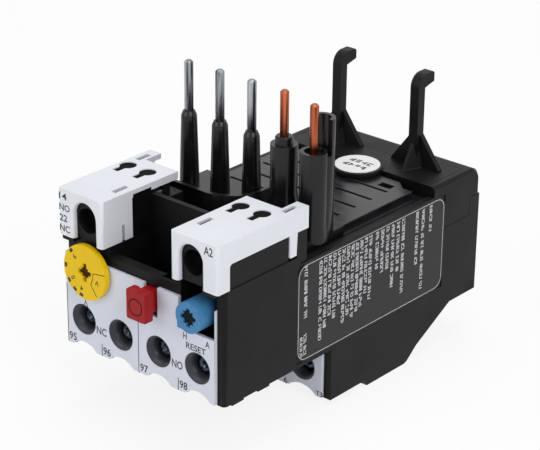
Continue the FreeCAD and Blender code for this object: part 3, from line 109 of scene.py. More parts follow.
def add_node(tree, kind, links=None, **settings):
    """Add a node; settings name its properties or inputs, links give the outputs that feed inputs."""
    node = tree.nodes.new(kind)
    for name, setting in settings.items():
        if hasattr(node, name):
            setattr(node, name, setting)
        else:
            set_inputs(node, **{name: setting})
    for name, output in (links or {}).items():
        tree.links.new(output, node.inputs[name])
    return node


def set_colours(mix, low, high):
    """Give a colour mix its two ends from sRGB hex."""
    ends = {"A": low, "B": high}
    for socket in mix.inputs:
        if socket.type == "RGBA":
            socket.default_value = srgb(ends[socket.name])


def new_material(name):
    """An empty material with its shader, and object coordinates in metres to place patterns."""
    material = bpy.data.materials.new(name)
    material.use_nodes = True
    tree = material.node_tree
    shader = tree.nodes["Principled BSDF"]
    place = add_node(tree, "ShaderNodeTexCoord").outputs["Object"]
    return material, tree, shader, place


def per_mm(size):
    """The scale that repeats a pattern every so many millimetres."""
    return 1 / (size * MM)


print("mid grey 808080 is", round(srgb("808080")[0], 3), "in linear light")

# %% [markdown]
# ## Moulded plastics
# A moulded skin is never quite even: the melt leaves wide, soft patches of tone and gloss as it
# flows, and a spark-eroded mould leaves a fine, even grain.  A painted bitmap could give both, but
# it would stretch on some faces.  Noise in object space has the same size in millimetres
# everywhere, so a wide noise mixes two close tones and shifts the gloss, and a fine one is the bump.
# The real grain is under a tenth of a millimetre.  It is drawn coarser here, so that it shows.

# %% Moulded plastic
PLASTIC_IOR = 1.5
FLOW_PATCH = 9          # millimetres across one patch of tone
GLOSS_SWING = 0.07      # how far roughness strays from patch to patch
NOISE_SPAN = {"From_Min": 0.3, "From_Max": 0.7}     # noise rarely leaves this span


def moulded_plastic(name, colour, dark, roughness, grain=0.35, depth=0.012, shine=0.5, flow=(1, 1, 1)):
    """A plastic of two close tones; grain and depth in millimetres, flow stretches its patches."""
    material, tree, shader, place = new_material(name)
    set_inputs(shader, IOR=PLASTIC_IOR, Specular_IOR_Level=shine)
    along = add_node(tree, "ShaderNodeMapping", {"Vector": place}, Scale=flow)
    patches = add_node(tree, "ShaderNodeTexNoise", {"Vector": along.outputs["Vector"]},
                       Scale=per_mm(FLOW_PATCH), Detail=5)
    tone = add_node(tree, "ShaderNodeMix", {"Factor": patches.outputs["Fac"]}, data_type="RGBA")
    set_colours(tone, dark, colour)
    gloss = add_node(tree, "ShaderNodeMapRange", {"Value": patches.outputs["Fac"]}, **NOISE_SPAN,
                     To_Min=roughness - GLOSS_SWING, To_Max=roughness + GLOSS_SWING)
    fine = add_node(tree, "ShaderNodeTexNoise", {"Vector": place}, Scale=per_mm(grain), Detail=2)
    bump = add_node(tree, "ShaderNodeBump", {"Height": fine.outputs["Fac"]},
                    Strength=0.35, Distance=depth * MM)
    tree.links.new(tone.outputs["Result"], shader.inputs["Base Color"])
    tree.links.new(gloss.outputs["Result"], shader.inputs["Roughness"])
    tree.links.new(bump.outputs["Normal"], shader.inputs["Normal"])
    return material


# %% [markdown]
# ### The blacks
# Casing, tray and cover are glass-filled polyamide, dyed through with carbon black.  It swallows
# nearly all light, so what the eye sees is mostly its shine, and that depends on the mould: a
# spark-eroded one gives a matte skin, a polished one dull highlights.  Black could be one material
# with a painted gloss, but three plain ones are easier to match to each part.

# %% Black plastics
# Matte all over: the casing, the hooks and the cover.
black_polyamide = moulded_plastic("black_polyamide_spark_eroded", "141416", "0e0e10", 0.44, shine=0.14)
# Long, dull streaks across the top plate, along which the melt ran.
flow_polyamide = moulded_plastic("black_polyamide_with_flow_lines", "1a1a1f", "0c0c0f", 0.25, grain=0.6,
                                 depth=0.008, shine=0.5, flow=(0.12, 1.4, 1))
# Narrow highlights down the sleeves of the pin block.
gloss_polyamide = moulded_plastic("black_polyamide_polished_mould", "131315", "0c0c0e", 0.22, grain=1.2,
                                  depth=0.004, shine=0.34)
# A screen-printed polyester film, a little warmer than the casing.
label_film = moulded_plastic("black_label_film", "292629", "211e21", 0.34, grain=1.2, depth=0.002, shine=0.2)
blacks = (black_polyamide, flow_polyamide, gloss_polyamide, label_film)
print("blacks:", [material.name for material in blacks])

# %% [markdown]
# ### The colours
# Caps and plates are white, a touch blue, as titanium white is.  The dial, the test button and the
# reset knob are PBT in signal colours, so that a fitter finds them at once.  Their pigment is
# strong, so their shine is kept low: a white shine would wash the colour out.

# %% White and coloured plastics
# Satin white that shows its edges by soft shade only.
white_polyamide = moulded_plastic("white_polyamide_satin", "e4e7ec", "d9dce4", 0.42, grain=0.5, depth=0.006)
# A thin moulded plate, slightly greyer and smoother than the caps.
plate_abs = moulded_plastic("white_abs_plate", "d6dae6", "cbcfdc", 0.38, grain=0.4, depth=0.005)
# Signal colours, smooth from a polished mould, with a soft highlight.
yellow_pbt = moulded_plastic("yellow_pbt_semi_gloss", "ecca00", "dcae00", 0.36, grain=0.6, depth=0.005,
                             shine=0.22)
red_pbt = moulded_plastic("red_pbt_semi_gloss", "a0161a", "850d12", 0.34, grain=0.6, depth=0.005, shine=0.2)
blue_pbt = moulded_plastic("blue_pbt_semi_gloss", "4a88b6", "326c9c", 0.34, grain=0.6, depth=0.005,
                           shine=0.25)
# Undyed nylon of the inner works: bone-coloured and waxy.
natural_nylon = moulded_plastic("natural_nylon_inner_works", "d8d0ba", "c9c0a8", 0.45, grain=0.5)
# Clay-coated paper: bright and nearly matte.
sticker_paper = moulded_plastic("white_coated_paper", "f0f0f0", "e6e6e8", 0.5, grain=0.25, depth=0.004)
colours = (white_polyamide, plate_abs, yellow_pbt, red_pbt, blue_pbt, natural_nylon, sticker_paper)
print("whites and colours:", [material.name for material in colours])

# %% [markdown]
# ## Metals
# The contactor pins are drawn copper wire: three are tinned and two are bare.  Drawing through a die
# leaves fine lines along the pin, so the noise is stretched along Z.  A metal takes its look from
# what it reflects, so the lines go into roughness and bump, and only soft patches go into colour:
# tarnish, and on the tinned pins also bright streaks of painted sheen.  An anisotropic shader could
# stretch the highlight too, but on a 2 mm pin nobody sees it.

# %% Drawn and plated metals
TARNISH_AND_SHEEN_PATCH = 0.7     # millimetres across one patch of tarnish and painted sheen
LINE_DEPTH = 0.02       # deeper than real drawing lines, so that they show


def drawn_metal(name, colour, dark, roughness, stretch=(1, 1, 0.05), line=0.25, spread=0.1):
    """A metal with lines, so many millimetres apart, along its drawing direction, and patches of tarnish and
    painted sheen.
    """
    material, tree, shader, place = new_material(name)
    set_inputs(shader, Metallic=1.0)
    along = add_node(tree, "ShaderNodeMapping", {"Vector": place}, Scale=stretch).outputs["Vector"]
    lines = add_node(tree, "ShaderNodeTexNoise", {"Vector": along}, Scale=per_mm(line), Detail=3)
    patches = add_node(tree, "ShaderNodeTexNoise", {"Vector": along}, Scale=per_mm(TARNISH_AND_SHEEN_PATCH), Detail=4)
    tarnish_and_painted_sheen = add_node(tree, "ShaderNodeMapRange", {"Value": patches.outputs["Fac"]},
                       From_Min=0.36, From_Max=0.6)
    tone = add_node(tree, "ShaderNodeMix", {"Factor": tarnish_and_painted_sheen.outputs["Result"]}, data_type="RGBA")
    set_colours(tone, dark, colour)
    gloss = add_node(tree, "ShaderNodeMapRange", {"Value": lines.outputs["Fac"]}, **NOISE_SPAN,
                     To_Min=roughness - spread, To_Max=roughness + spread)
    bump = add_node(tree, "ShaderNodeBump", {"Height": lines.outputs["Fac"]},
                    Strength=0.5, Distance=LINE_DEPTH * MM)
    tree.links.new(tone.outputs["Result"], shader.inputs["Base Color"])
    tree.links.new(gloss.outputs["Result"], shader.inputs["Roughness"])
    tree.links.new(bump.outputs["Normal"], shader.inputs["Normal"])
    return material


# Tin dulls to grey, and its brighter streaks along the pin are painted sheen; bare copper turns from salmon
# to brown.
tinned_copper = drawn_metal("tinned_copper_drawn", "aeb2b7", "34373c", 0.3)
bare_copper = drawn_metal("bare_copper_drawn", "c8704e", "6c3222", 0.34)
# Barrel-plated steel is a soft, bright grey without direction, so its noise isn't stretched.
zinc_steel = drawn_metal("zinc_plated_steel", "c4c8cc", "8f9599", 0.34, stretch=(1, 1, 1), line=0.4)
# Drawn spring wire is a darker grey.
spring_steel = drawn_metal("drawn_spring_steel", "8d9092", "6c6f71", 0.32)
# Rolled brass has lines along the strip, which runs from front to back.
rolled_brass = drawn_metal("rolled_brass_strip", "d9b35c", "b8913f", 0.33, stretch=(1, 0.06, 1))
# The bimetal strips stand upright, and so do their lines.
rolled_bimetal = drawn_metal("rolled_bimetal_strip", "8f8c86", "757069", 0.38)
metals = (tinned_copper, bare_copper, zinc_steel, spring_steel, rolled_brass, rolled_bimetal)
print("metals:", [material.name for material in metals])

# %% [markdown]
# ## Finishes on the CAD solids
# On the real relay no edge is sharp: a mould has small radii, and they draw a thin line of light
# along each edge.  Fillets in CAD would cost many faces, so a narrow bevel modifier makes them here.
# Solids come in as separate faces, so they are welded first, or the bevel would find no edges.

# %% Dress the solids
FINISHES = {
    "casing_black": black_polyamide,
    "white_plastic": white_polyamide,
    "yellow_plastic": yellow_pbt,
    "red_plastic": red_pbt,
    "blue_plastic": blue_pbt,
    "works_plastic": natural_nylon,
    "tinned_pin": tinned_copper,
    "copper_pin": bare_copper,
    "zinc_steel": zinc_steel,
    "spring_steel": spring_steel,
    "contact_brass": rolled_brass,
    "bimetal_steel": rolled_bimetal,
    "label_black": label_film,
    "sticker_white": sticker_paper,
}
OWN_FINISH = {
    "top_plate": flow_polyamide,
    "front_plate": plate_abs,
    "load_plate": plate_abs,
    "pin_block": gloss_polyamide,
}
SLOT_OF = {entry["node"]: entry["material_slot"] for entry in frame["record"]["subparts"]}
EDGE_ROUND = 0.15       # millimetres
SHARP_ANGLE = math.radians(35)
WELD_GAP = 0.002        # millimetres


def add_weld(solid):
    """Join the separate faces of a solid where they meet."""
    weld = solid.modifiers.new("weld", "WELD")
    weld.merge_threshold = WELD_GAP * MM


def dress(node, solid):
    """Give a solid its material and softened edges."""
    solid.data.materials.clear()
    solid.data.materials.append(OWN_FINISH.get(node, FINISHES[SLOT_OF[node]]))
    add_weld(solid)
    bevel = solid.modifiers.new("edges", "BEVEL")
    bevel.width = EDGE_ROUND * MM
    bevel.segments = 2
    bevel.limit_method = "ANGLE"
    bevel.angle_limit = SHARP_ANGLE
    bevel.use_clamp_overlap = True
    bevel.harden_normals = True


for node, solid in frame["nodes"].items():
    dress(node, solid)
print("dressed", len(frame["nodes"]), "solids")

# %% [markdown]
# ## Small forms that the solids leave out
# A few small forms are only worth their faces in a picture, such as the star in a knob.  Dark paint
# could fake a recess, but then its rim would not catch light.  So the pieces below are real shapes:
# outlines drawn in millimetres and pulled into prisms, either added or cut out of a copy of a solid.

# %% Outlines and prisms
def rectangle(left, right, low, high):
    """The four corners of an upright rectangle."""
    return [(left, low), (right, low), (right, high), (left, high)]


def ring_of_points(middle, radii, start=0.0):
    """Points around a middle, one for each radius; unequal radii make a star."""
    step = math.tau / len(radii)
    turns = [start + index * step for index in range(len(radii))]
    return [(middle[0] + radius * math.cos(turn), middle[1] + radius * math.sin(turn))
            for radius, turn in zip(radii, turns)]


def prism(gathered, outline, near, far, upright=False):
    """Add a closed prism from near to far: towards the rear, or upwards if it is upright."""
    ends = [[gathered.verts.new(at(u, v, depth) if upright else at(u, depth, v)) for u, v in outline]
            for depth in (near, far)]
    gathered.faces.new(ends[0])
    gathered.faces.new(ends[1][::-1])
    for index in range(len(outline)):
        after = (index + 1) % len(outline)
        gathered.faces.new((ends[0][after], ends[0][index], ends[1][index], ends[1][after]))


def turn_outwards(gathered):
    """Make all faces of closed shapes look outwards."""
    bmesh.ops.recalc_face_normals(gathered, faces=gathered.faces)


# %% [markdown]
# ### Pieces and stand-ins
# A new piece has to ride on a body, or it would stay behind when that body moves.  A copy that has
# been reshaped also has to stand in for its solid, or both would show in the same place.  These
# calls belong to every piece, so the helpers make them.

# %% Pieces and copies of solids
def add_piece(name, gathered, body, finish):
    """Turn gathered faces into a piece of one finish that rides on a body."""
    mesh = bpy.data.meshes.new(name)
    gathered.to_mesh(mesh)
    gathered.free()
    mesh.materials.append(finish)
    piece = bpy.data.objects.new(name, mesh)
    bpy.context.scene.collection.objects.link(piece)
    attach(piece, body)
    print(name, len(mesh.polygons), "faces")
    return piece


def copy_solid(node, ending):
    """A copy of a solid, in its place, that may be reshaped."""
    solid = frame["nodes"][node]
    piece = bpy.data.objects.new(f"{node}_{ending}", solid.data.copy())
    piece.matrix_world = solid.matrix_world.copy()
    bpy.context.scene.collection.objects.link(piece)
    return piece


def baked_mesh(piece):
    """The shape that a piece has once its modifiers, or its letters, are worked out."""
    return bpy.data.meshes.new_from_object(piece.evaluated_get(bpy.context.evaluated_depsgraph_get()))


def stand_in(piece, node, body):
    """Let a piece stand in for a solid, with its finish."""
    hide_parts(node)
    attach(piece, body)
    dress(node, piece)


def cut_copy(node, cutter, body):
    """Let a copy of a solid, with the cutter taken away, stand in for that solid."""
    turn_outwards(cutter)
    tool_mesh = bpy.data.meshes.new("tool")
    cutter.to_mesh(tool_mesh)
    cutter.free()
    tool = bpy.data.objects.new("tool", tool_mesh)
    bpy.context.scene.collection.objects.link(tool)
    piece = copy_solid(node, "cut")
    add_weld(piece)
    cut = piece.modifiers.new("cut", "BOOLEAN")
    cut.operation = "DIFFERENCE"
    cut.solver = "EXACT"
    cut.object = tool
    bpy.context.view_layer.update()
    piece.data = baked_mesh(piece)
    piece.modifiers.clear()
    bpy.data.objects.remove(tool)
    stand_in(piece, node, body)
    print(piece.name, len(piece.data.polygons), "faces, from", len(frame["nodes"][node].data.polygons))


# %% [markdown]
# ## Scallops behind the plates
# Both white plates end in a row of arcs that leave room for the wires from below.  The casing behind
# them is cut away too, so that light shows through the arcs.  A Boolean on the solid itself would
# need the cutter to stay in the scene, so a copy is cut once and stands in for the casing.

# %% Scallops
AUX_HOLES = [(-17.07, 7.1), (-6.13, 7.1), (4.83, 7.1), (15.78, 7.1)]
LOAD_HOLES = [(-15.0, -6.0), (0.0, -6.0), (15.0, -6.0)]
ARC_STEPS = 64
ARC_GAP = 0.02          # the cut stays this much inside the plate's own arcs
# Each row: its screw holes, the arcs' radius and top, and where the cut starts and ends.
SCALLOPS = (
    (AUX_HOLES, 4.8, 1.7, plate_face + 0.4, plate_face + 4.2),
    (LOAD_HOLES, 5.76, -10.7, load_face + 0.4, load_face + 4.2),
)
scallops = bmesh.new()
for holes, radius, top, near, far in SCALLOPS:
    for x, _ in holes:
        prism(scallops, ring_of_points((x, top - radius), [radius - ARC_GAP] * ARC_STEPS), near, far)
cut_copy("housing", scallops, "casing")

# %% [markdown]
# ## Stars for the screwdriver
# Dial and knob are turned with a screwdriver, and both a slotted and a cross blade have to fit.  So
# the recess is a ragged star of eight points, with painted shade at its bottom.  Only its outline shows, so
# it is one ring of points whose radii vary, cut into a copy, with a dark piece of painted shade as its
# floor.

# %% Stars
STAR_TURN = 0.1         # radians
STAR_GAP = 0.03         # keeps the walls of recess and lining apart
STAR_FLOOR = 0.45       # depth of the dark floor below the face
CUT_AHEAD = 0.5         # a cutter starts this far in front of the face
LINING_SUNK = 0.1       # a lining ends this far inside the knob


def add_star(node, body, middle, radii, depth, shade):
    """Cut a star into the face of a knob and line its floor with painted shade."""
    face = box_mm(node)[0][1]
    star = bmesh.new()
    prism(star, ring_of_points(middle, radii, STAR_TURN), face - CUT_AHEAD, face + depth)
    cut_copy(node, star, body)
    lining = bmesh.new()
    narrowed = [radius - STAR_GAP for radius in radii]
    prism(lining, ring_of_points(middle, narrowed, STAR_TURN), face + STAR_FLOOR, face + depth + LINING_SUNK)
    turn_outwards(lining)
    add_piece(node + "_star", lining, body, shade)


(left, dial_face, foot), (right, _, top) = box_mm("dial")
dial_middle = ((left + right) / 2, (foot + top) / 2)
KNOB_MIDDLE = (15.5, 19.4)
# Painted shade at the bottom of a recess: nearly black, with no highlight.
yellow_star_painted_shade = moulded_plastic("yellow_pbt_painted_shade", "4a2c06", "2b1803", 0.6, grain=0.3, shine=0.1)
blue_star_painted_shade = moulded_plastic("blue_pbt_painted_shade", "0d1824", "070c12", 0.6, grain=0.3, shine=0.1)
add_star("dial", "dial_body", dial_middle, (2.0, 1.15, 1.5, 0.95) * 4, 0.75, yellow_star_painted_shade)
add_star("reset_knob", "knob_body", KNOB_MIDDLE, (2.25, 1.5, 2.0, 1.3) * 4, 1.1, blue_star_painted_shade)

# %% [markdown]
# ## Linings of the screw funnels
# A funnel guides the screwdriver to each terminal screw, whose blue-passivated head shows at its
# narrow end.  The lining of each funnel is painted grey as painted light on the black walls, and the head
# is painted dark as painted shade.  Both are round, so they could be cones and discs, but a lathe profile
# spun about the hole's axis gives the flush rim, the wall and the dimple of the head in one closed shape.

# %% Lathe work and its materials
LATHE_STEPS = 40
# The cone is painted a lighter grey than the casing: painted light on its black walls, with a soft highlight
# round it.  The head is a dark, blue-grey metal: painted shade deep in the funnel.
funnel_lining_painted_light = moulded_plastic("black_polyamide_painted_light_in_funnels", "3a3e46", "24272d", 0.36, grain=0.5,
                                  shine=0.3)
zinc_head_painted_shade = drawn_metal("blue_passivated_zinc_in_shade", "46505b", "0d1014", 0.25,
                        stretch=(1, 1, 1), line=0.5)


def turned_ring(name, profile, middle, finish):
    """Spin a closed profile of radius and depth about an axis that runs to the rear."""
    ring = bmesh.new()
    loops = []
    for step in range(LATHE_STEPS):
        turn = math.tau * step / LATHE_STEPS
        across, up = math.cos(turn), math.sin(turn)
        loops.append([ring.verts.new(at(middle[0] + radius * across, depth, middle[1] + radius * up))
                      for radius, depth in profile])
    for here, there in zip(loops, loops[1:] + loops[:1]):
        for index in range(len(profile)):
            after = (index + 1) % len(profile)
            ring.faces.new((here[index], here[after], there[after], there[index]))
    turn_outwards(ring)
    for face in ring.faces:
        face.smooth = True
    add_piece(name, ring, "casing", finish)


# %% Funnels and screw heads
# Radius and depth behind the plate's face, along each closed profile.
FUNNEL = ((3.47, 0.03), (3.36, -0.02), (2.3, 2.0), (2.2, 3.4), (2.9, 3.4), (3.42, 0.9))
SCREW_HEAD = ((0.05, 2.5), (0.55, 2.45), (0.8, 2.05), (1.7, 2.15), (2.15, 2.6), (2.15, 3.4), (0.05, 3.4))
for row, face, holes in (("front", plate_face, AUX_HOLES), ("load", load_face, LOAD_HOLES)):
    for number, hole in enumerate(holes, start=1):
        funnel = [(radius, face + depth) for radius, depth in FUNNEL]
        head = [(radius, face + depth) for radius, depth in SCREW_HEAD]
        turned_ring(f"{row}_funnel_{number}", funnel, hole, funnel_lining_painted_light)
        turned_ring(f"{row}_screw_face_{number}", head, hole, zinc_head_painted_shade)

# %% [markdown]
# ## Black walls and shutters
# Beside the well, each tower has a black inner wall.  In the caps, keyholes and slots open on black
# plastic just below.  The holes could be left open, but then light from inside would turn them
# grey, so a prism closes each of them a little below the lid.

# %% Walls beside the well, shutters under the caps
KEYHOLE_Y, KEYHOLE_FRONT = 16.3, 12.35
KEYHOLE_RADIUS, KEYHOLE_HALF = 1.86, 0.82
KEYHOLE_SPACE = 2.9     # from the middle of a pair to either keyhole
PAIR_SHIFT = -1         # each pair sits a little to the left of its cap's middle
CAP_INNER, CAP_OUTER = 9.62, 22.5
# Each slot: its distance from the relay's middle, its front and its rear.
CAP_SLOTS = ((11.92, 3.85, 7.75), (20.7, 19.75, 23.45))
SLOT_HALF = 0.56
# How far below a cap's top its shutters start, and then the shutters' own top and foot below that.
BELOW_LID = 0.22
KEYHOLE_SHUTTER = (0, 0.5)
SLOT_SHUTTER = (0.35, 0.9)
# The wall beside the well: how far from the relay's middle, how high, and how far to the rear.
WALL_INNER, WALL_OUTER = 9.56, 10.1
WALL_FOOT, WALL_TOP = 21.0, 35.6
WALL_NEAR, WALL_FAR = 7.25, 12.6
# Painted shade: a darker, duller copy of the black polyamide, so that walls and shutters deep in shade
# hardly shine at all.
shaded_polyamide = moulded_plastic("black_polyamide_in_shade", "0d0d0e", "080809", 0.6, shine=0.04)


def keyhole(spot):
    """The outline of a keyhole: most of a circle, and a slot towards the front."""
    turns = [math.radians(-62 + 15.2 * step) for step in range(21)]
    rim = [(spot + KEYHOLE_RADIUS * math.cos(turn), KEYHOLE_Y + KEYHOLE_RADIUS * math.sin(turn))
           for turn in turns]
    return rim + [(spot - KEYHOLE_HALF, KEYHOLE_FRONT), (spot + KEYHOLE_HALF, KEYHOLE_FRONT)]


for side, sign in (("left", -1), ("right", 1)):
    shade = bmesh.new()
    prism(shade, rectangle(sign * WALL_INNER, sign * WALL_OUTER, WALL_FOOT, WALL_TOP), WALL_NEAR, WALL_FAR)
    level = box_mm("cap_" + side)[1][2] - BELOW_LID
    middle = sign * (CAP_INNER + CAP_OUTER) / 2 + PAIR_SHIFT
    top, foot = [level - depth for depth in KEYHOLE_SHUTTER]
    for spot in (middle - KEYHOLE_SPACE, middle + KEYHOLE_SPACE):
        prism(shade, keyhole(spot), foot, top, upright=True)
    top, foot = [level - depth for depth in SLOT_SHUTTER]
    for x, front, rear in CAP_SLOTS:
        slot = rectangle(sign * x - SLOT_HALF, sign * x + SLOT_HALF, front, rear)
        prism(shade, slot, foot, top, upright=True)
    turn_outwards(shade)
    add_piece(f"tower_shutters_{side}", shade, "casing", shaded_polyamide)

# %% [markdown]
# ## Springs
# A coil spring is drawn at rest, and a stiff one would poke through its button when that is pressed.
# Bending each turn with bones would be exact but heavy.  A spring this small looks right if the
# whole coil flattens towards its rear seat by the button's travel.  Here a copy with a mesh of its own
# only stands in for each spring; nothing flattens it.

# %% Springs
for node, joint in (("test_spring", "test_press"), ("reset_spring", "reset_press")):
    coil = copy_solid(node, "coil")
    stand_in(coil, node, "casing")
    low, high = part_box(node)
    length = (high[1] - low[1]) / MM
    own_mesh(coil)
    print(coil.name, "is", round(length, 2), "mm long at rest")

# %% [markdown]
# ## Head of the test button
# The red button has a broad, square head with round edges and a small notch on top.  It overlaps the
# solid's narrower face.  A subdivided block would round the corners too much, so it is a prism with
# a bevel, which keeps the face flat for the ring on it.

# %% Button head
BUTTON_LEFT, BUTTON_RIGHT, BUTTON_FOOT, BUTTON_TOP = 0.35, 5.65, 15.28, 21.93
BUTTON_FACE, BUTTON_REAR = -5.45, -2.95
BUTTON_ROUND = 0.45
NOTCH_FOOT = 21.5
notch = [(3.2, BUTTON_TOP), (2.7, NOTCH_FOOT), (2.2, NOTCH_FOOT), (1.7, BUTTON_TOP)]
button = bmesh.new()
corners = [(BUTTON_LEFT, BUTTON_FOOT), (BUTTON_RIGHT, BUTTON_FOOT), (BUTTON_RIGHT, BUTTON_TOP)]
prism(button, corners + notch + [(BUTTON_LEFT, BUTTON_TOP)], BUTTON_FACE, BUTTON_REAR)
turn_outwards(button)
button_head = add_piece("test_button_head", button, "test_body", red_pbt)
rounded = button_head.modifiers.new("edges", "BEVEL")
rounded.width = BUTTON_ROUND * MM
rounded.segments = 3
rounded.harden_normals = True
print("button head is", round(BUTTON_RIGHT - BUTTON_LEFT, 2), "mm wide")

# %% [markdown]
# ## Printing
# The marks on a relay are pad-printed: a thin, flat layer of ink with sharp edges.  A picture
# texture would need a bitmap and would blur close up, so each mark is a real sheet of ink,
# a hundredth of a millimetre proud.  A print is drawn in millimetres on a flat surface that has a
# zero point, a direction to the right and one upwards.

# %% Inks and surfaces
INK_SUNK, INK_PROUD = -0.02, 0.012
THIN_LINE = 0.2
# Pad-printing ink dries matte, so it shows as plain tone.
black_ink = moulded_plastic("pad_print_ink_black", "26262c", "1d1d22", 0.5, grain=0.2, depth=0.002)
white_ink = moulded_plastic("pad_print_ink_white", "e9e9ec", "dcdce0", 0.5, grain=0.2, depth=0.002)
brown_ink = moulded_plastic("pad_print_ink_dark_brown", "3a2c08", "2a1f05", 0.5, grain=0.2, depth=0.002)
print("inks:", [ink.name for ink in (black_ink, white_ink, brown_ink)])


def surface(zero, right, up):
    """The matrix from millimetres on a printed surface to the frame's metres."""
    right, up = Vector(right), Vector(up)
    axes = Matrix((right, up, right.cross(up))).transposed() * MM
    return Matrix.Translation(at(*zero)) @ axes.to_4x4()


def front_surface(face, zero=(0, 0)):
    """A surface that faces the front at a given depth, with its zero at X and Z."""
    return surface((zero[0], face, zero[1]), (1, 0, 0), (0, 0, 1))


# %% Sheets, bars and lines of ink
INK_GAP = 0.0005        # corners nearer than this become one


def add_sheet(ink, points):
    """Add one closed shape of ink from its corners."""
    low = [ink.verts.new((u, v, INK_SUNK)) for u, v in points]
    high = [ink.verts.new((u, v, INK_PROUD)) for u, v in points]
    ink.faces.new(high)
    ink.faces.new(low[::-1])
    for index in range(len(points)):
        after = (index + 1) % len(points)
        ink.faces.new((low[index], low[after], high[after], high[index]))


def add_bar(ink, left, bottom, width, height):
    """Add a straight bar of ink."""
    add_sheet(ink, rectangle(left, left + width, bottom, bottom + height))


def add_line(ink, points, width):
    """Add a line of ink of even width along points, one bar per stretch."""
    for (u0, v0), (u1, v1) in zip(points, points[1:]):
        length = math.hypot(u1 - u0, v1 - v0)
        du, dv = -(v1 - v0) / length * width / 2, (u1 - u0) / length * width / 2
        add_sheet(ink, [(u0 - du, v0 - dv), (u1 - du, v1 - dv), (u1 + du, v1 + dv), (u0 + du, v0 + dv)])


def finish_print(ink, name, place, body, finish):
    """Lay gathered ink on its surface and let it ride on a body."""
    bmesh.ops.remove_doubles(ink, verts=ink.verts, dist=INK_GAP)
    ink.transform(place)
    add_piece(name, ink, body, finish)


# %% [markdown]
# ### Letters
# A text object gives letters as real shapes, and Blender's own font is plain enough for a relay.  It
# could stay a text object, but then each word's size would follow the font.  A real word is as wide
# as the plate has room for, so the word becomes a mesh and is fitted into a box.

# %% Words
LETTER_WEIGHT = 0.016   # swells the strokes, as ink spreads under the pad


def add_words(ink, words, left, bottom, width, height, turn=0):
    """Add a word fitted into a box, then turned by degrees about the middle of that box."""
    curve = bpy.data.curves.new("letters", "FONT")
    curve.body = words
    curve.resolution_u = 3
    curve.extrude = 0.5
    curve.offset = LETTER_WEIGHT
    letters = bpy.data.objects.new("letters", curve)
    bpy.context.scene.collection.objects.link(letters)
    shape = baked_mesh(letters)
    bpy.data.objects.remove(letters)
    bpy.data.curves.remove(curve)
    low = Vector([min(vertex.co[axis] for vertex in shape.vertices) for axis in range(3)])
    high = Vector([max(vertex.co[axis] for vertex in shape.vertices) for axis in range(3)])
    size = high - low
    centred = Matrix.Translation(-(low + high) / 2)
    scaled = Matrix.Diagonal((width / size.x, height / size.y, (INK_PROUD - INK_SUNK) / size.z, 1))
    turned = Matrix.Rotation(math.radians(turn), 4, "Z")
    placed = Matrix.Translation((left + width / 2, bottom + height / 2, (INK_PROUD + INK_SUNK) / 2))
    shape.transform(placed @ turned @ scaled @ centred)
    ink.from_mesh(shape)
    bpy.data.meshes.remove(shape)


# %% [markdown]
# ## Marks on the front plate
# Terminal numbers stand under the four screw holes, each after an upright line.  The pairs are a
# break contact (NC) and a make contact (NO), and the line at the start of each pair is long.  H and
# A beside the blue knob stand for hand and automatic reset.  The marks could be loose objects, but a
# plate is printed in one go, so they are gathered into one piece.

# %% Front plate
# Each word, then its left, foot, width and height.
FRONT_WORDS = (
    ("95", -21.7, 1.05, 2.2, 1.8),
    ("96", -11.45, 0.75, 2.2, 1.8),
    ("97", -0.5, 0.75, 2.2, 1.8),
    ("98", 10.75, 0.85, 2.2, 1.8),
    ("NC", -13.3, 5.1, 2.95, 1.85),
    ("NO", 8.65, 5.1, 3.0, 1.85),
    ("RESET", 12.7, 10.8, 5.4, 1.45),
    ("A", 18.0, 12.75, 1.2, 1.45),
    ("H", 11.9, 12.7, 1.0, 1.45),
)
# Each bar's left, foot, width and height: two short ones, two long ones, and the arrow's stem.
FRONT_BARS = (
    (-11.9, 0.2, 0.22, 2.9),
    (10.3, 0.2, 0.22, 2.9),
    (-1.02, 0.1, THIN_LINE, 12.6),
    (-22.1, 0.35, THIN_LINE, 13.9),
    (-16.5, 11.6, THIN_LINE, 1.5),
)
ARROW_HEAD = [(-16.4, 11.7), (-17.0, 10.4), (-15.8, 10.4), (-16.4, 11.7)]
front = bmesh.new()
for word in FRONT_WORDS:
    add_words(front, *word)
for bar in FRONT_BARS:
    add_bar(front, *bar)
add_line(front, ARROW_HEAD, THIN_LINE)
finish_print(front, "front_plate_print", front_surface(plate_face), "casing", black_ink)

# %% [markdown]
# ## Marks on the dial
# The setting dial has a scale of five blocks at its rim.  The gaps shrink towards the low end,
# because the current that trips the relay does not grow evenly with the turn of the cam.
# A plain outline frames the letter A, for ampere.  The print rides on the dial, so that it turns
# with it; ink drawn on the casing would stay behind.

# %% Dial
BLOCK_ANGLES = (134, 178, 213, 237, 258)
BLOCK_NEAR, BLOCK_FAR, BLOCK_WIDTH = 5.2, 5.95, 1.05
FIGURES = (("6", 135), ("5", 212), ("4", 256))
FIGURE_RADIUS, FIGURE_WIDTH, FIGURE_HEIGHT = 4.1, 0.84, 1.2
AMPERE_OUTLINE = [(6.0, 1.1), (2.45, 0.55), (2.4, -0.8), (1.75, -2.2), (3.45, -4.6)]
dial = bmesh.new()
for angle in BLOCK_ANGLES:
    turn = Matrix.Rotation(math.radians(angle), 2)
    block = rectangle(BLOCK_NEAR, BLOCK_FAR, -BLOCK_WIDTH / 2, BLOCK_WIDTH / 2)
    add_sheet(dial, [tuple(turn @ Vector(corner)) for corner in block])
for figure, angle in FIGURES:
    u = FIGURE_RADIUS * math.cos(math.radians(angle)) - FIGURE_WIDTH / 2
    v = FIGURE_RADIUS * math.sin(math.radians(angle)) - FIGURE_HEIGHT / 2
    add_words(dial, figure, u, v, FIGURE_WIDTH, FIGURE_HEIGHT, turn=angle - 90)
add_line(dial, AMPERE_OUTLINE, THIN_LINE)
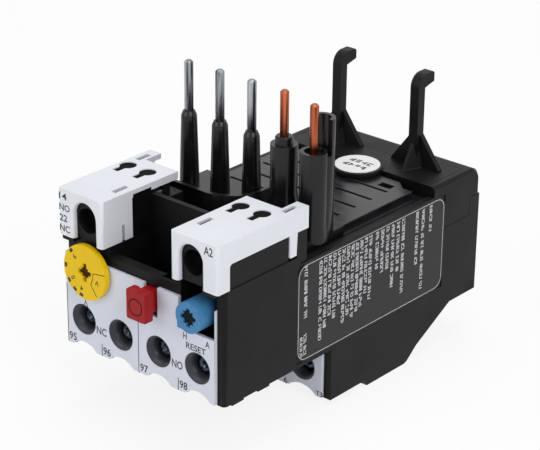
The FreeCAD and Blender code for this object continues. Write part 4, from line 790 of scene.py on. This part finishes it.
add_words(dial, "A", 3.1, -1.9, 1.1, 1.2, turn=-12)
finish_print(dial, "dial_print", front_surface(dial_face, dial_middle), "dial_body",
             brown_ink)

# %% [markdown]
# ## Ring on the test button
# A fine groove circles the middle of the button's face and lies in its own shade.  At a quarter of
# a millimetre wide a cut would hardly show, so it is laid on as a thin, dark red band.

# %% Ring
RING_MIDDLE = (3.0, 18.4)
RING_INNER, RING_OUTER, RING_STEPS = 1.68, 1.95, 36
groove_red = moulded_plastic("red_pbt_groove_in_shade", "3f0609", "2c0406", 0.6, grain=0.3, shine=0.1)
ring = bmesh.new()
for step in range(RING_STEPS):
    turns = [math.tau * (step + more) / RING_STEPS for more in (0, 1)]
    inner, outer = [[(radius * math.cos(turn), radius * math.sin(turn)) for turn in turns]
                    for radius in (RING_INNER, RING_OUTER)]
    add_sheet(ring, [inner[0], outer[0], outer[1], inner[1]])
finish_print(ring, "test_button_ring", front_surface(BUTTON_FACE, RING_MIDDLE), "test_body",
             groove_red)

# %% [markdown]
# ## Marks on the white caps and the load plate
# These name the terminals behind them: 14 and 22 with their kind of contact, and A2 for the coil.
# Each of the three motor terminals has two names, such as 2 and T1, one on each side of its hole.
# They could be listed one by one, but they repeat with each pole, so a loop sets them from its hole.

# %% Caps and load plate
LEFT_CAP_WORDS = (("14", 34.15, 2.3), ("NO", 31.6, 3.1), ("22", 29.2, 2.3), ("NC", 26.85, 3.0))
left_cap, right_cap, load = bmesh.new(), bmesh.new(), bmesh.new()
for word, foot, width in LEFT_CAP_WORDS:
    add_words(left_cap, word, -22.2, foot, width, 1.55)
add_words(right_cap, "A2", 18.8, 34.1, 2.4, 1.9)
for number, (middle, _) in enumerate(LOAD_HOLES, start=1):
    add_words(load, str(2 * number), middle - 5.2, -12.2, 1.05, 1.5)
    add_words(load, f"T{number}", middle + 3.95, -12.05, 2.0, 1.25)
for ink, name, face in ((left_cap, "left_cap_print", cap_face), (right_cap, "right_cap_print", cap_face),
                        (load, "load_plate_print", load_face)):
    finish_print(ink, name, front_surface(face), "casing", black_ink)

# %% [markdown]
# ## Side label
# A black film label with a thin white frame covers most of the right side.  Its small print runs
# downwards.  Nobody can read it at this size, so each letter is a few random strokes: that gives the
# grey value and rhythm of print without any words.  A fixed seed draws the same strokes each time.

# %% Unreadable letters
rng = random.Random(7)


def add_strokes(ink, left, bottom, width, height):
    """Add one unreadable letter: two or three of five strokes in a box."""
    stroke = 0.36 * width
    choices = [(left, bottom, stroke, height), (left + width - stroke, bottom, stroke, height)]
    choices += [(left, bottom + level * (height - stroke), width, stroke) for level in (0, 0.5, 1)]
    for bar in rng.sample(choices, rng.choice((2, 3, 3))):
        add_bar(ink, *bar)


def add_row(ink, level, start, length, height=1.0):
    """Add a row of unreadable words that runs to the right from a start."""
    place = start
    while place < start + length - 1:
        for _ in range(rng.randint(2, 8)):
            if place < start + length:
                add_strokes(ink, place, level, 0.5 * height, height)
                place += 0.66 * height
        place += 0.5 * height


def add_frame(ink, width, height, inset, corner, line):
    """Add a thin frame with round corners inside a box."""
    near, right, top = inset + corner, width - inset - corner, height - inset - corner
    path = []
    for u, v, start in ((right, top, 0), (near, top, 90), (near, near, 180), (right, near, 270)):
        for step in range(7):
            turn = math.radians(start + 15 * step)
            path.append((u + corner * math.cos(turn), v + corner * math.sin(turn)))
    add_line(ink, path + path[:1], line)


# %% Print of the side label
READING_EDGE = 0.7
PARAGRAPH_EDGE = READING_EDGE + 0.2
# On this surface "right" runs down the side of the relay and "up" runs to its rear.
(_, label_start, label_foot), (label_face, label_end, label_top) = box_mm("side_label")
label = bmesh.new()
add_frame(label, label_top - label_foot, label_end - label_start, inset=0.45, corner=2.5, line=0.1)
add_row(label, 2.2, READING_EDGE, 12.0)
add_row(label, 2.2, 16.3, 5.2, 0.9)
add_row(label, 1.0, 16.8, 4.4, 0.9)
# Two paragraphs: rows, first level, step from row to row, shortest and longest row.
for rows, first, step, shortest, longest in ((12, 7.0, 1.52, 12, 20), (6, 26.0, 1.85, 9, 19)):
    for row in range(rows):
        add_row(label, first + step * row, PARAGRAPH_EDGE, rng.uniform(shortest, longest))
for level, length in ((40.2, 12.7), (42.4, 19.5), (45.2, 6.2)):
    add_row(label, level, PARAGRAPH_EDGE, length)
finish_print(label, "side_label_print", surface((label_face, label_start, label_top), (0, 0, -1), (0, 1, 0)),
             "casing", white_ink)

# %% [markdown]
# ## Round sticker
# A paper sticker sits on the boss between the hooks.  It carries two rows of unreadable figures,
# made of the same strokes as the label, only larger.

# %% Print of the round sticker
ROW_LEVELS = (0.45, -2.15)
ROW_START, LETTER_STEP, LETTER_WIDTH, LETTER_HEIGHT = -3.1, 1.6, 1.15, 1.6
(left, near, _), (right, far, sticker_face) = box_mm("round_sticker")
sticker = bmesh.new()
for level in ROW_LEVELS:
    for place in range(4):
        add_strokes(sticker, ROW_START + LETTER_STEP * place, level, LETTER_WIDTH, LETTER_HEIGHT)
sticker_middle = ((left + right) / 2, (near + far) / 2, sticker_face)
finish_print(sticker, "round_sticker_print", surface(sticker_middle, (-1, 0, 0), (0, -1, 0)),
             "casing", black_ink)

# %% [markdown]
# ## Floor
# A catalogue picture shows its subject on plain white.  A brighter lamp could bleach the floor, but
# it would bleach the white caps too.  So the floor itself is mostly a plain white for the rays that
# see it, and the rest of it is a matte grey-white that keeps the soft shadow.

# %% Floor
FLOOR_WHITE = 0.86      # this much of the floor is plain white, and the rest takes the soft shadow
FLOOR_HALF = 3.0        # metres


def plainly_seen(tree):
    """1 for the rays that should meet a plain white: camera, glossy and transmission rays."""
    rays = add_node(tree, "ShaderNodeLightPath")
    seen = rays.outputs["Is Camera Ray"]
    for kind in ("Is Glossy Ray", "Is Transmission Ray"):
        either = add_node(tree, "ShaderNodeMath", {0: seen, 1: rays.outputs[kind]}, operation="MAXIMUM")
        seen = either.outputs["Value"]
    return seen


floor_white, tree, shader, _ = new_material("white_floor")
set_inputs(shader, Base_Color=srgb("f3f3f3"), Roughness=0.9)
glow = add_node(tree, "ShaderNodeEmission", Strength=1.0)
share = add_node(tree, "ShaderNodeMath", {0: plainly_seen(tree)}, operation="MULTIPLY")
share.inputs[1].default_value = FLOOR_WHITE
ends = {0: share.outputs["Value"], 1: shader.outputs["BSDF"], 2: glow.outputs["Emission"]}
both = add_node(tree, "ShaderNodeMixShader", ends)
tree.links.new(both.outputs["Shader"], tree.nodes["Material Output"].inputs["Surface"])
floor_mesh = bpy.data.meshes.new("floor")
corners = rectangle(-FLOOR_HALF, FLOOR_HALF, -FLOOR_HALF, FLOOR_HALF)
floor_mesh.from_pydata([(x, y, 0) for x, y in corners], [], [(0, 1, 2, 3)])
floor_mesh.materials.append(floor_white)
floor = bpy.data.objects.new("floor", floor_mesh)
bpy.context.scene.collection.objects.link(floor)
print("floor is", 2 * FLOOR_HALF, "m wide")

# %% [markdown]
# ## Lamps and sky
# Three large soft lamps and a pale sky give even light with weak shadows.  One sun would be simpler,
# but black plastic shows little besides highlights, and only large lamps give broad, soft ones.

# %% Lamps and sky
TARGET = at(0, 39.66, 20.74)
SKY_LIGHT = 0.35        # how strongly the sky lights the relay; it is seen as plain white
# Each lamp: its place and size in metres, and its power in watts.
LAMPS = (
    ("key_lamp", (0.9, -0.35, 0.75), 0.7, 6.2),
    ("front_lamp", (-0.35, -1.0, 0.55), 0.7, 3.4),
    ("top_lamp", (0.0, 0.25, 1.1), 0.8, 5.0),
)


def turned_to_target(place):
    """The turn that aims a lamp or a camera at the relay."""
    return (TARGET - Vector(place)).to_track_quat("-Z", "Y")


for name, place, size, power in LAMPS:
    lamp = bpy.data.lights.new(name, "AREA")
    lamp.size = size
    lamp.energy = power
    holder = bpy.data.objects.new(name, lamp)
    holder.location = place
    holder.rotation_euler = turned_to_target(place).to_euler()
    bpy.context.scene.collection.objects.link(holder)
world = bpy.data.worlds.new("studio")
world.use_nodes = True
tree = world.node_tree
sky = tree.nodes["Background"]
set_inputs(sky, Color=(1, 1, 1, 1))
shown = add_node(tree, "ShaderNodeMapRange", {"Value": plainly_seen(tree)}, To_Min=SKY_LIGHT, To_Max=1.0)
tree.links.new(shown.outputs["Result"], sky.inputs["Strength"])
bpy.context.scene.world = world
print("lamps:", [lamp.name for lamp in bpy.data.lights if lamp.type == "AREA"])

# %% [markdown]
# ## Camera
# The view is from the front right and from above, so that front, side and top all show.  A wide lens
# close by would make the near corner loom, so a long lens looks from almost half a metre away.

# %% Camera
SENSOR, LENS = 36, 134.46       # millimetres
ROLL = math.radians(0.577)
camera_data = bpy.data.cameras.new("camera")
camera_data.sensor_width = SENSOR
camera_data.lens = LENS
camera_data.clip_start = 0.01
camera = bpy.data.objects.new("camera", camera_data)
place = at(262.51, -264.88, 202.67)
aim = turned_to_target(place).to_matrix().to_4x4()
camera.matrix_world = Matrix.Translation(place) @ aim @ Matrix.Rotation(ROLL, 4, "Z")
bpy.context.scene.collection.objects.link(camera)
bpy.context.scene.camera = camera
bpy.context.scene.view_settings.view_transform = "Standard"
print("camera is", round((TARGET - place).length, 3), "m from its target")
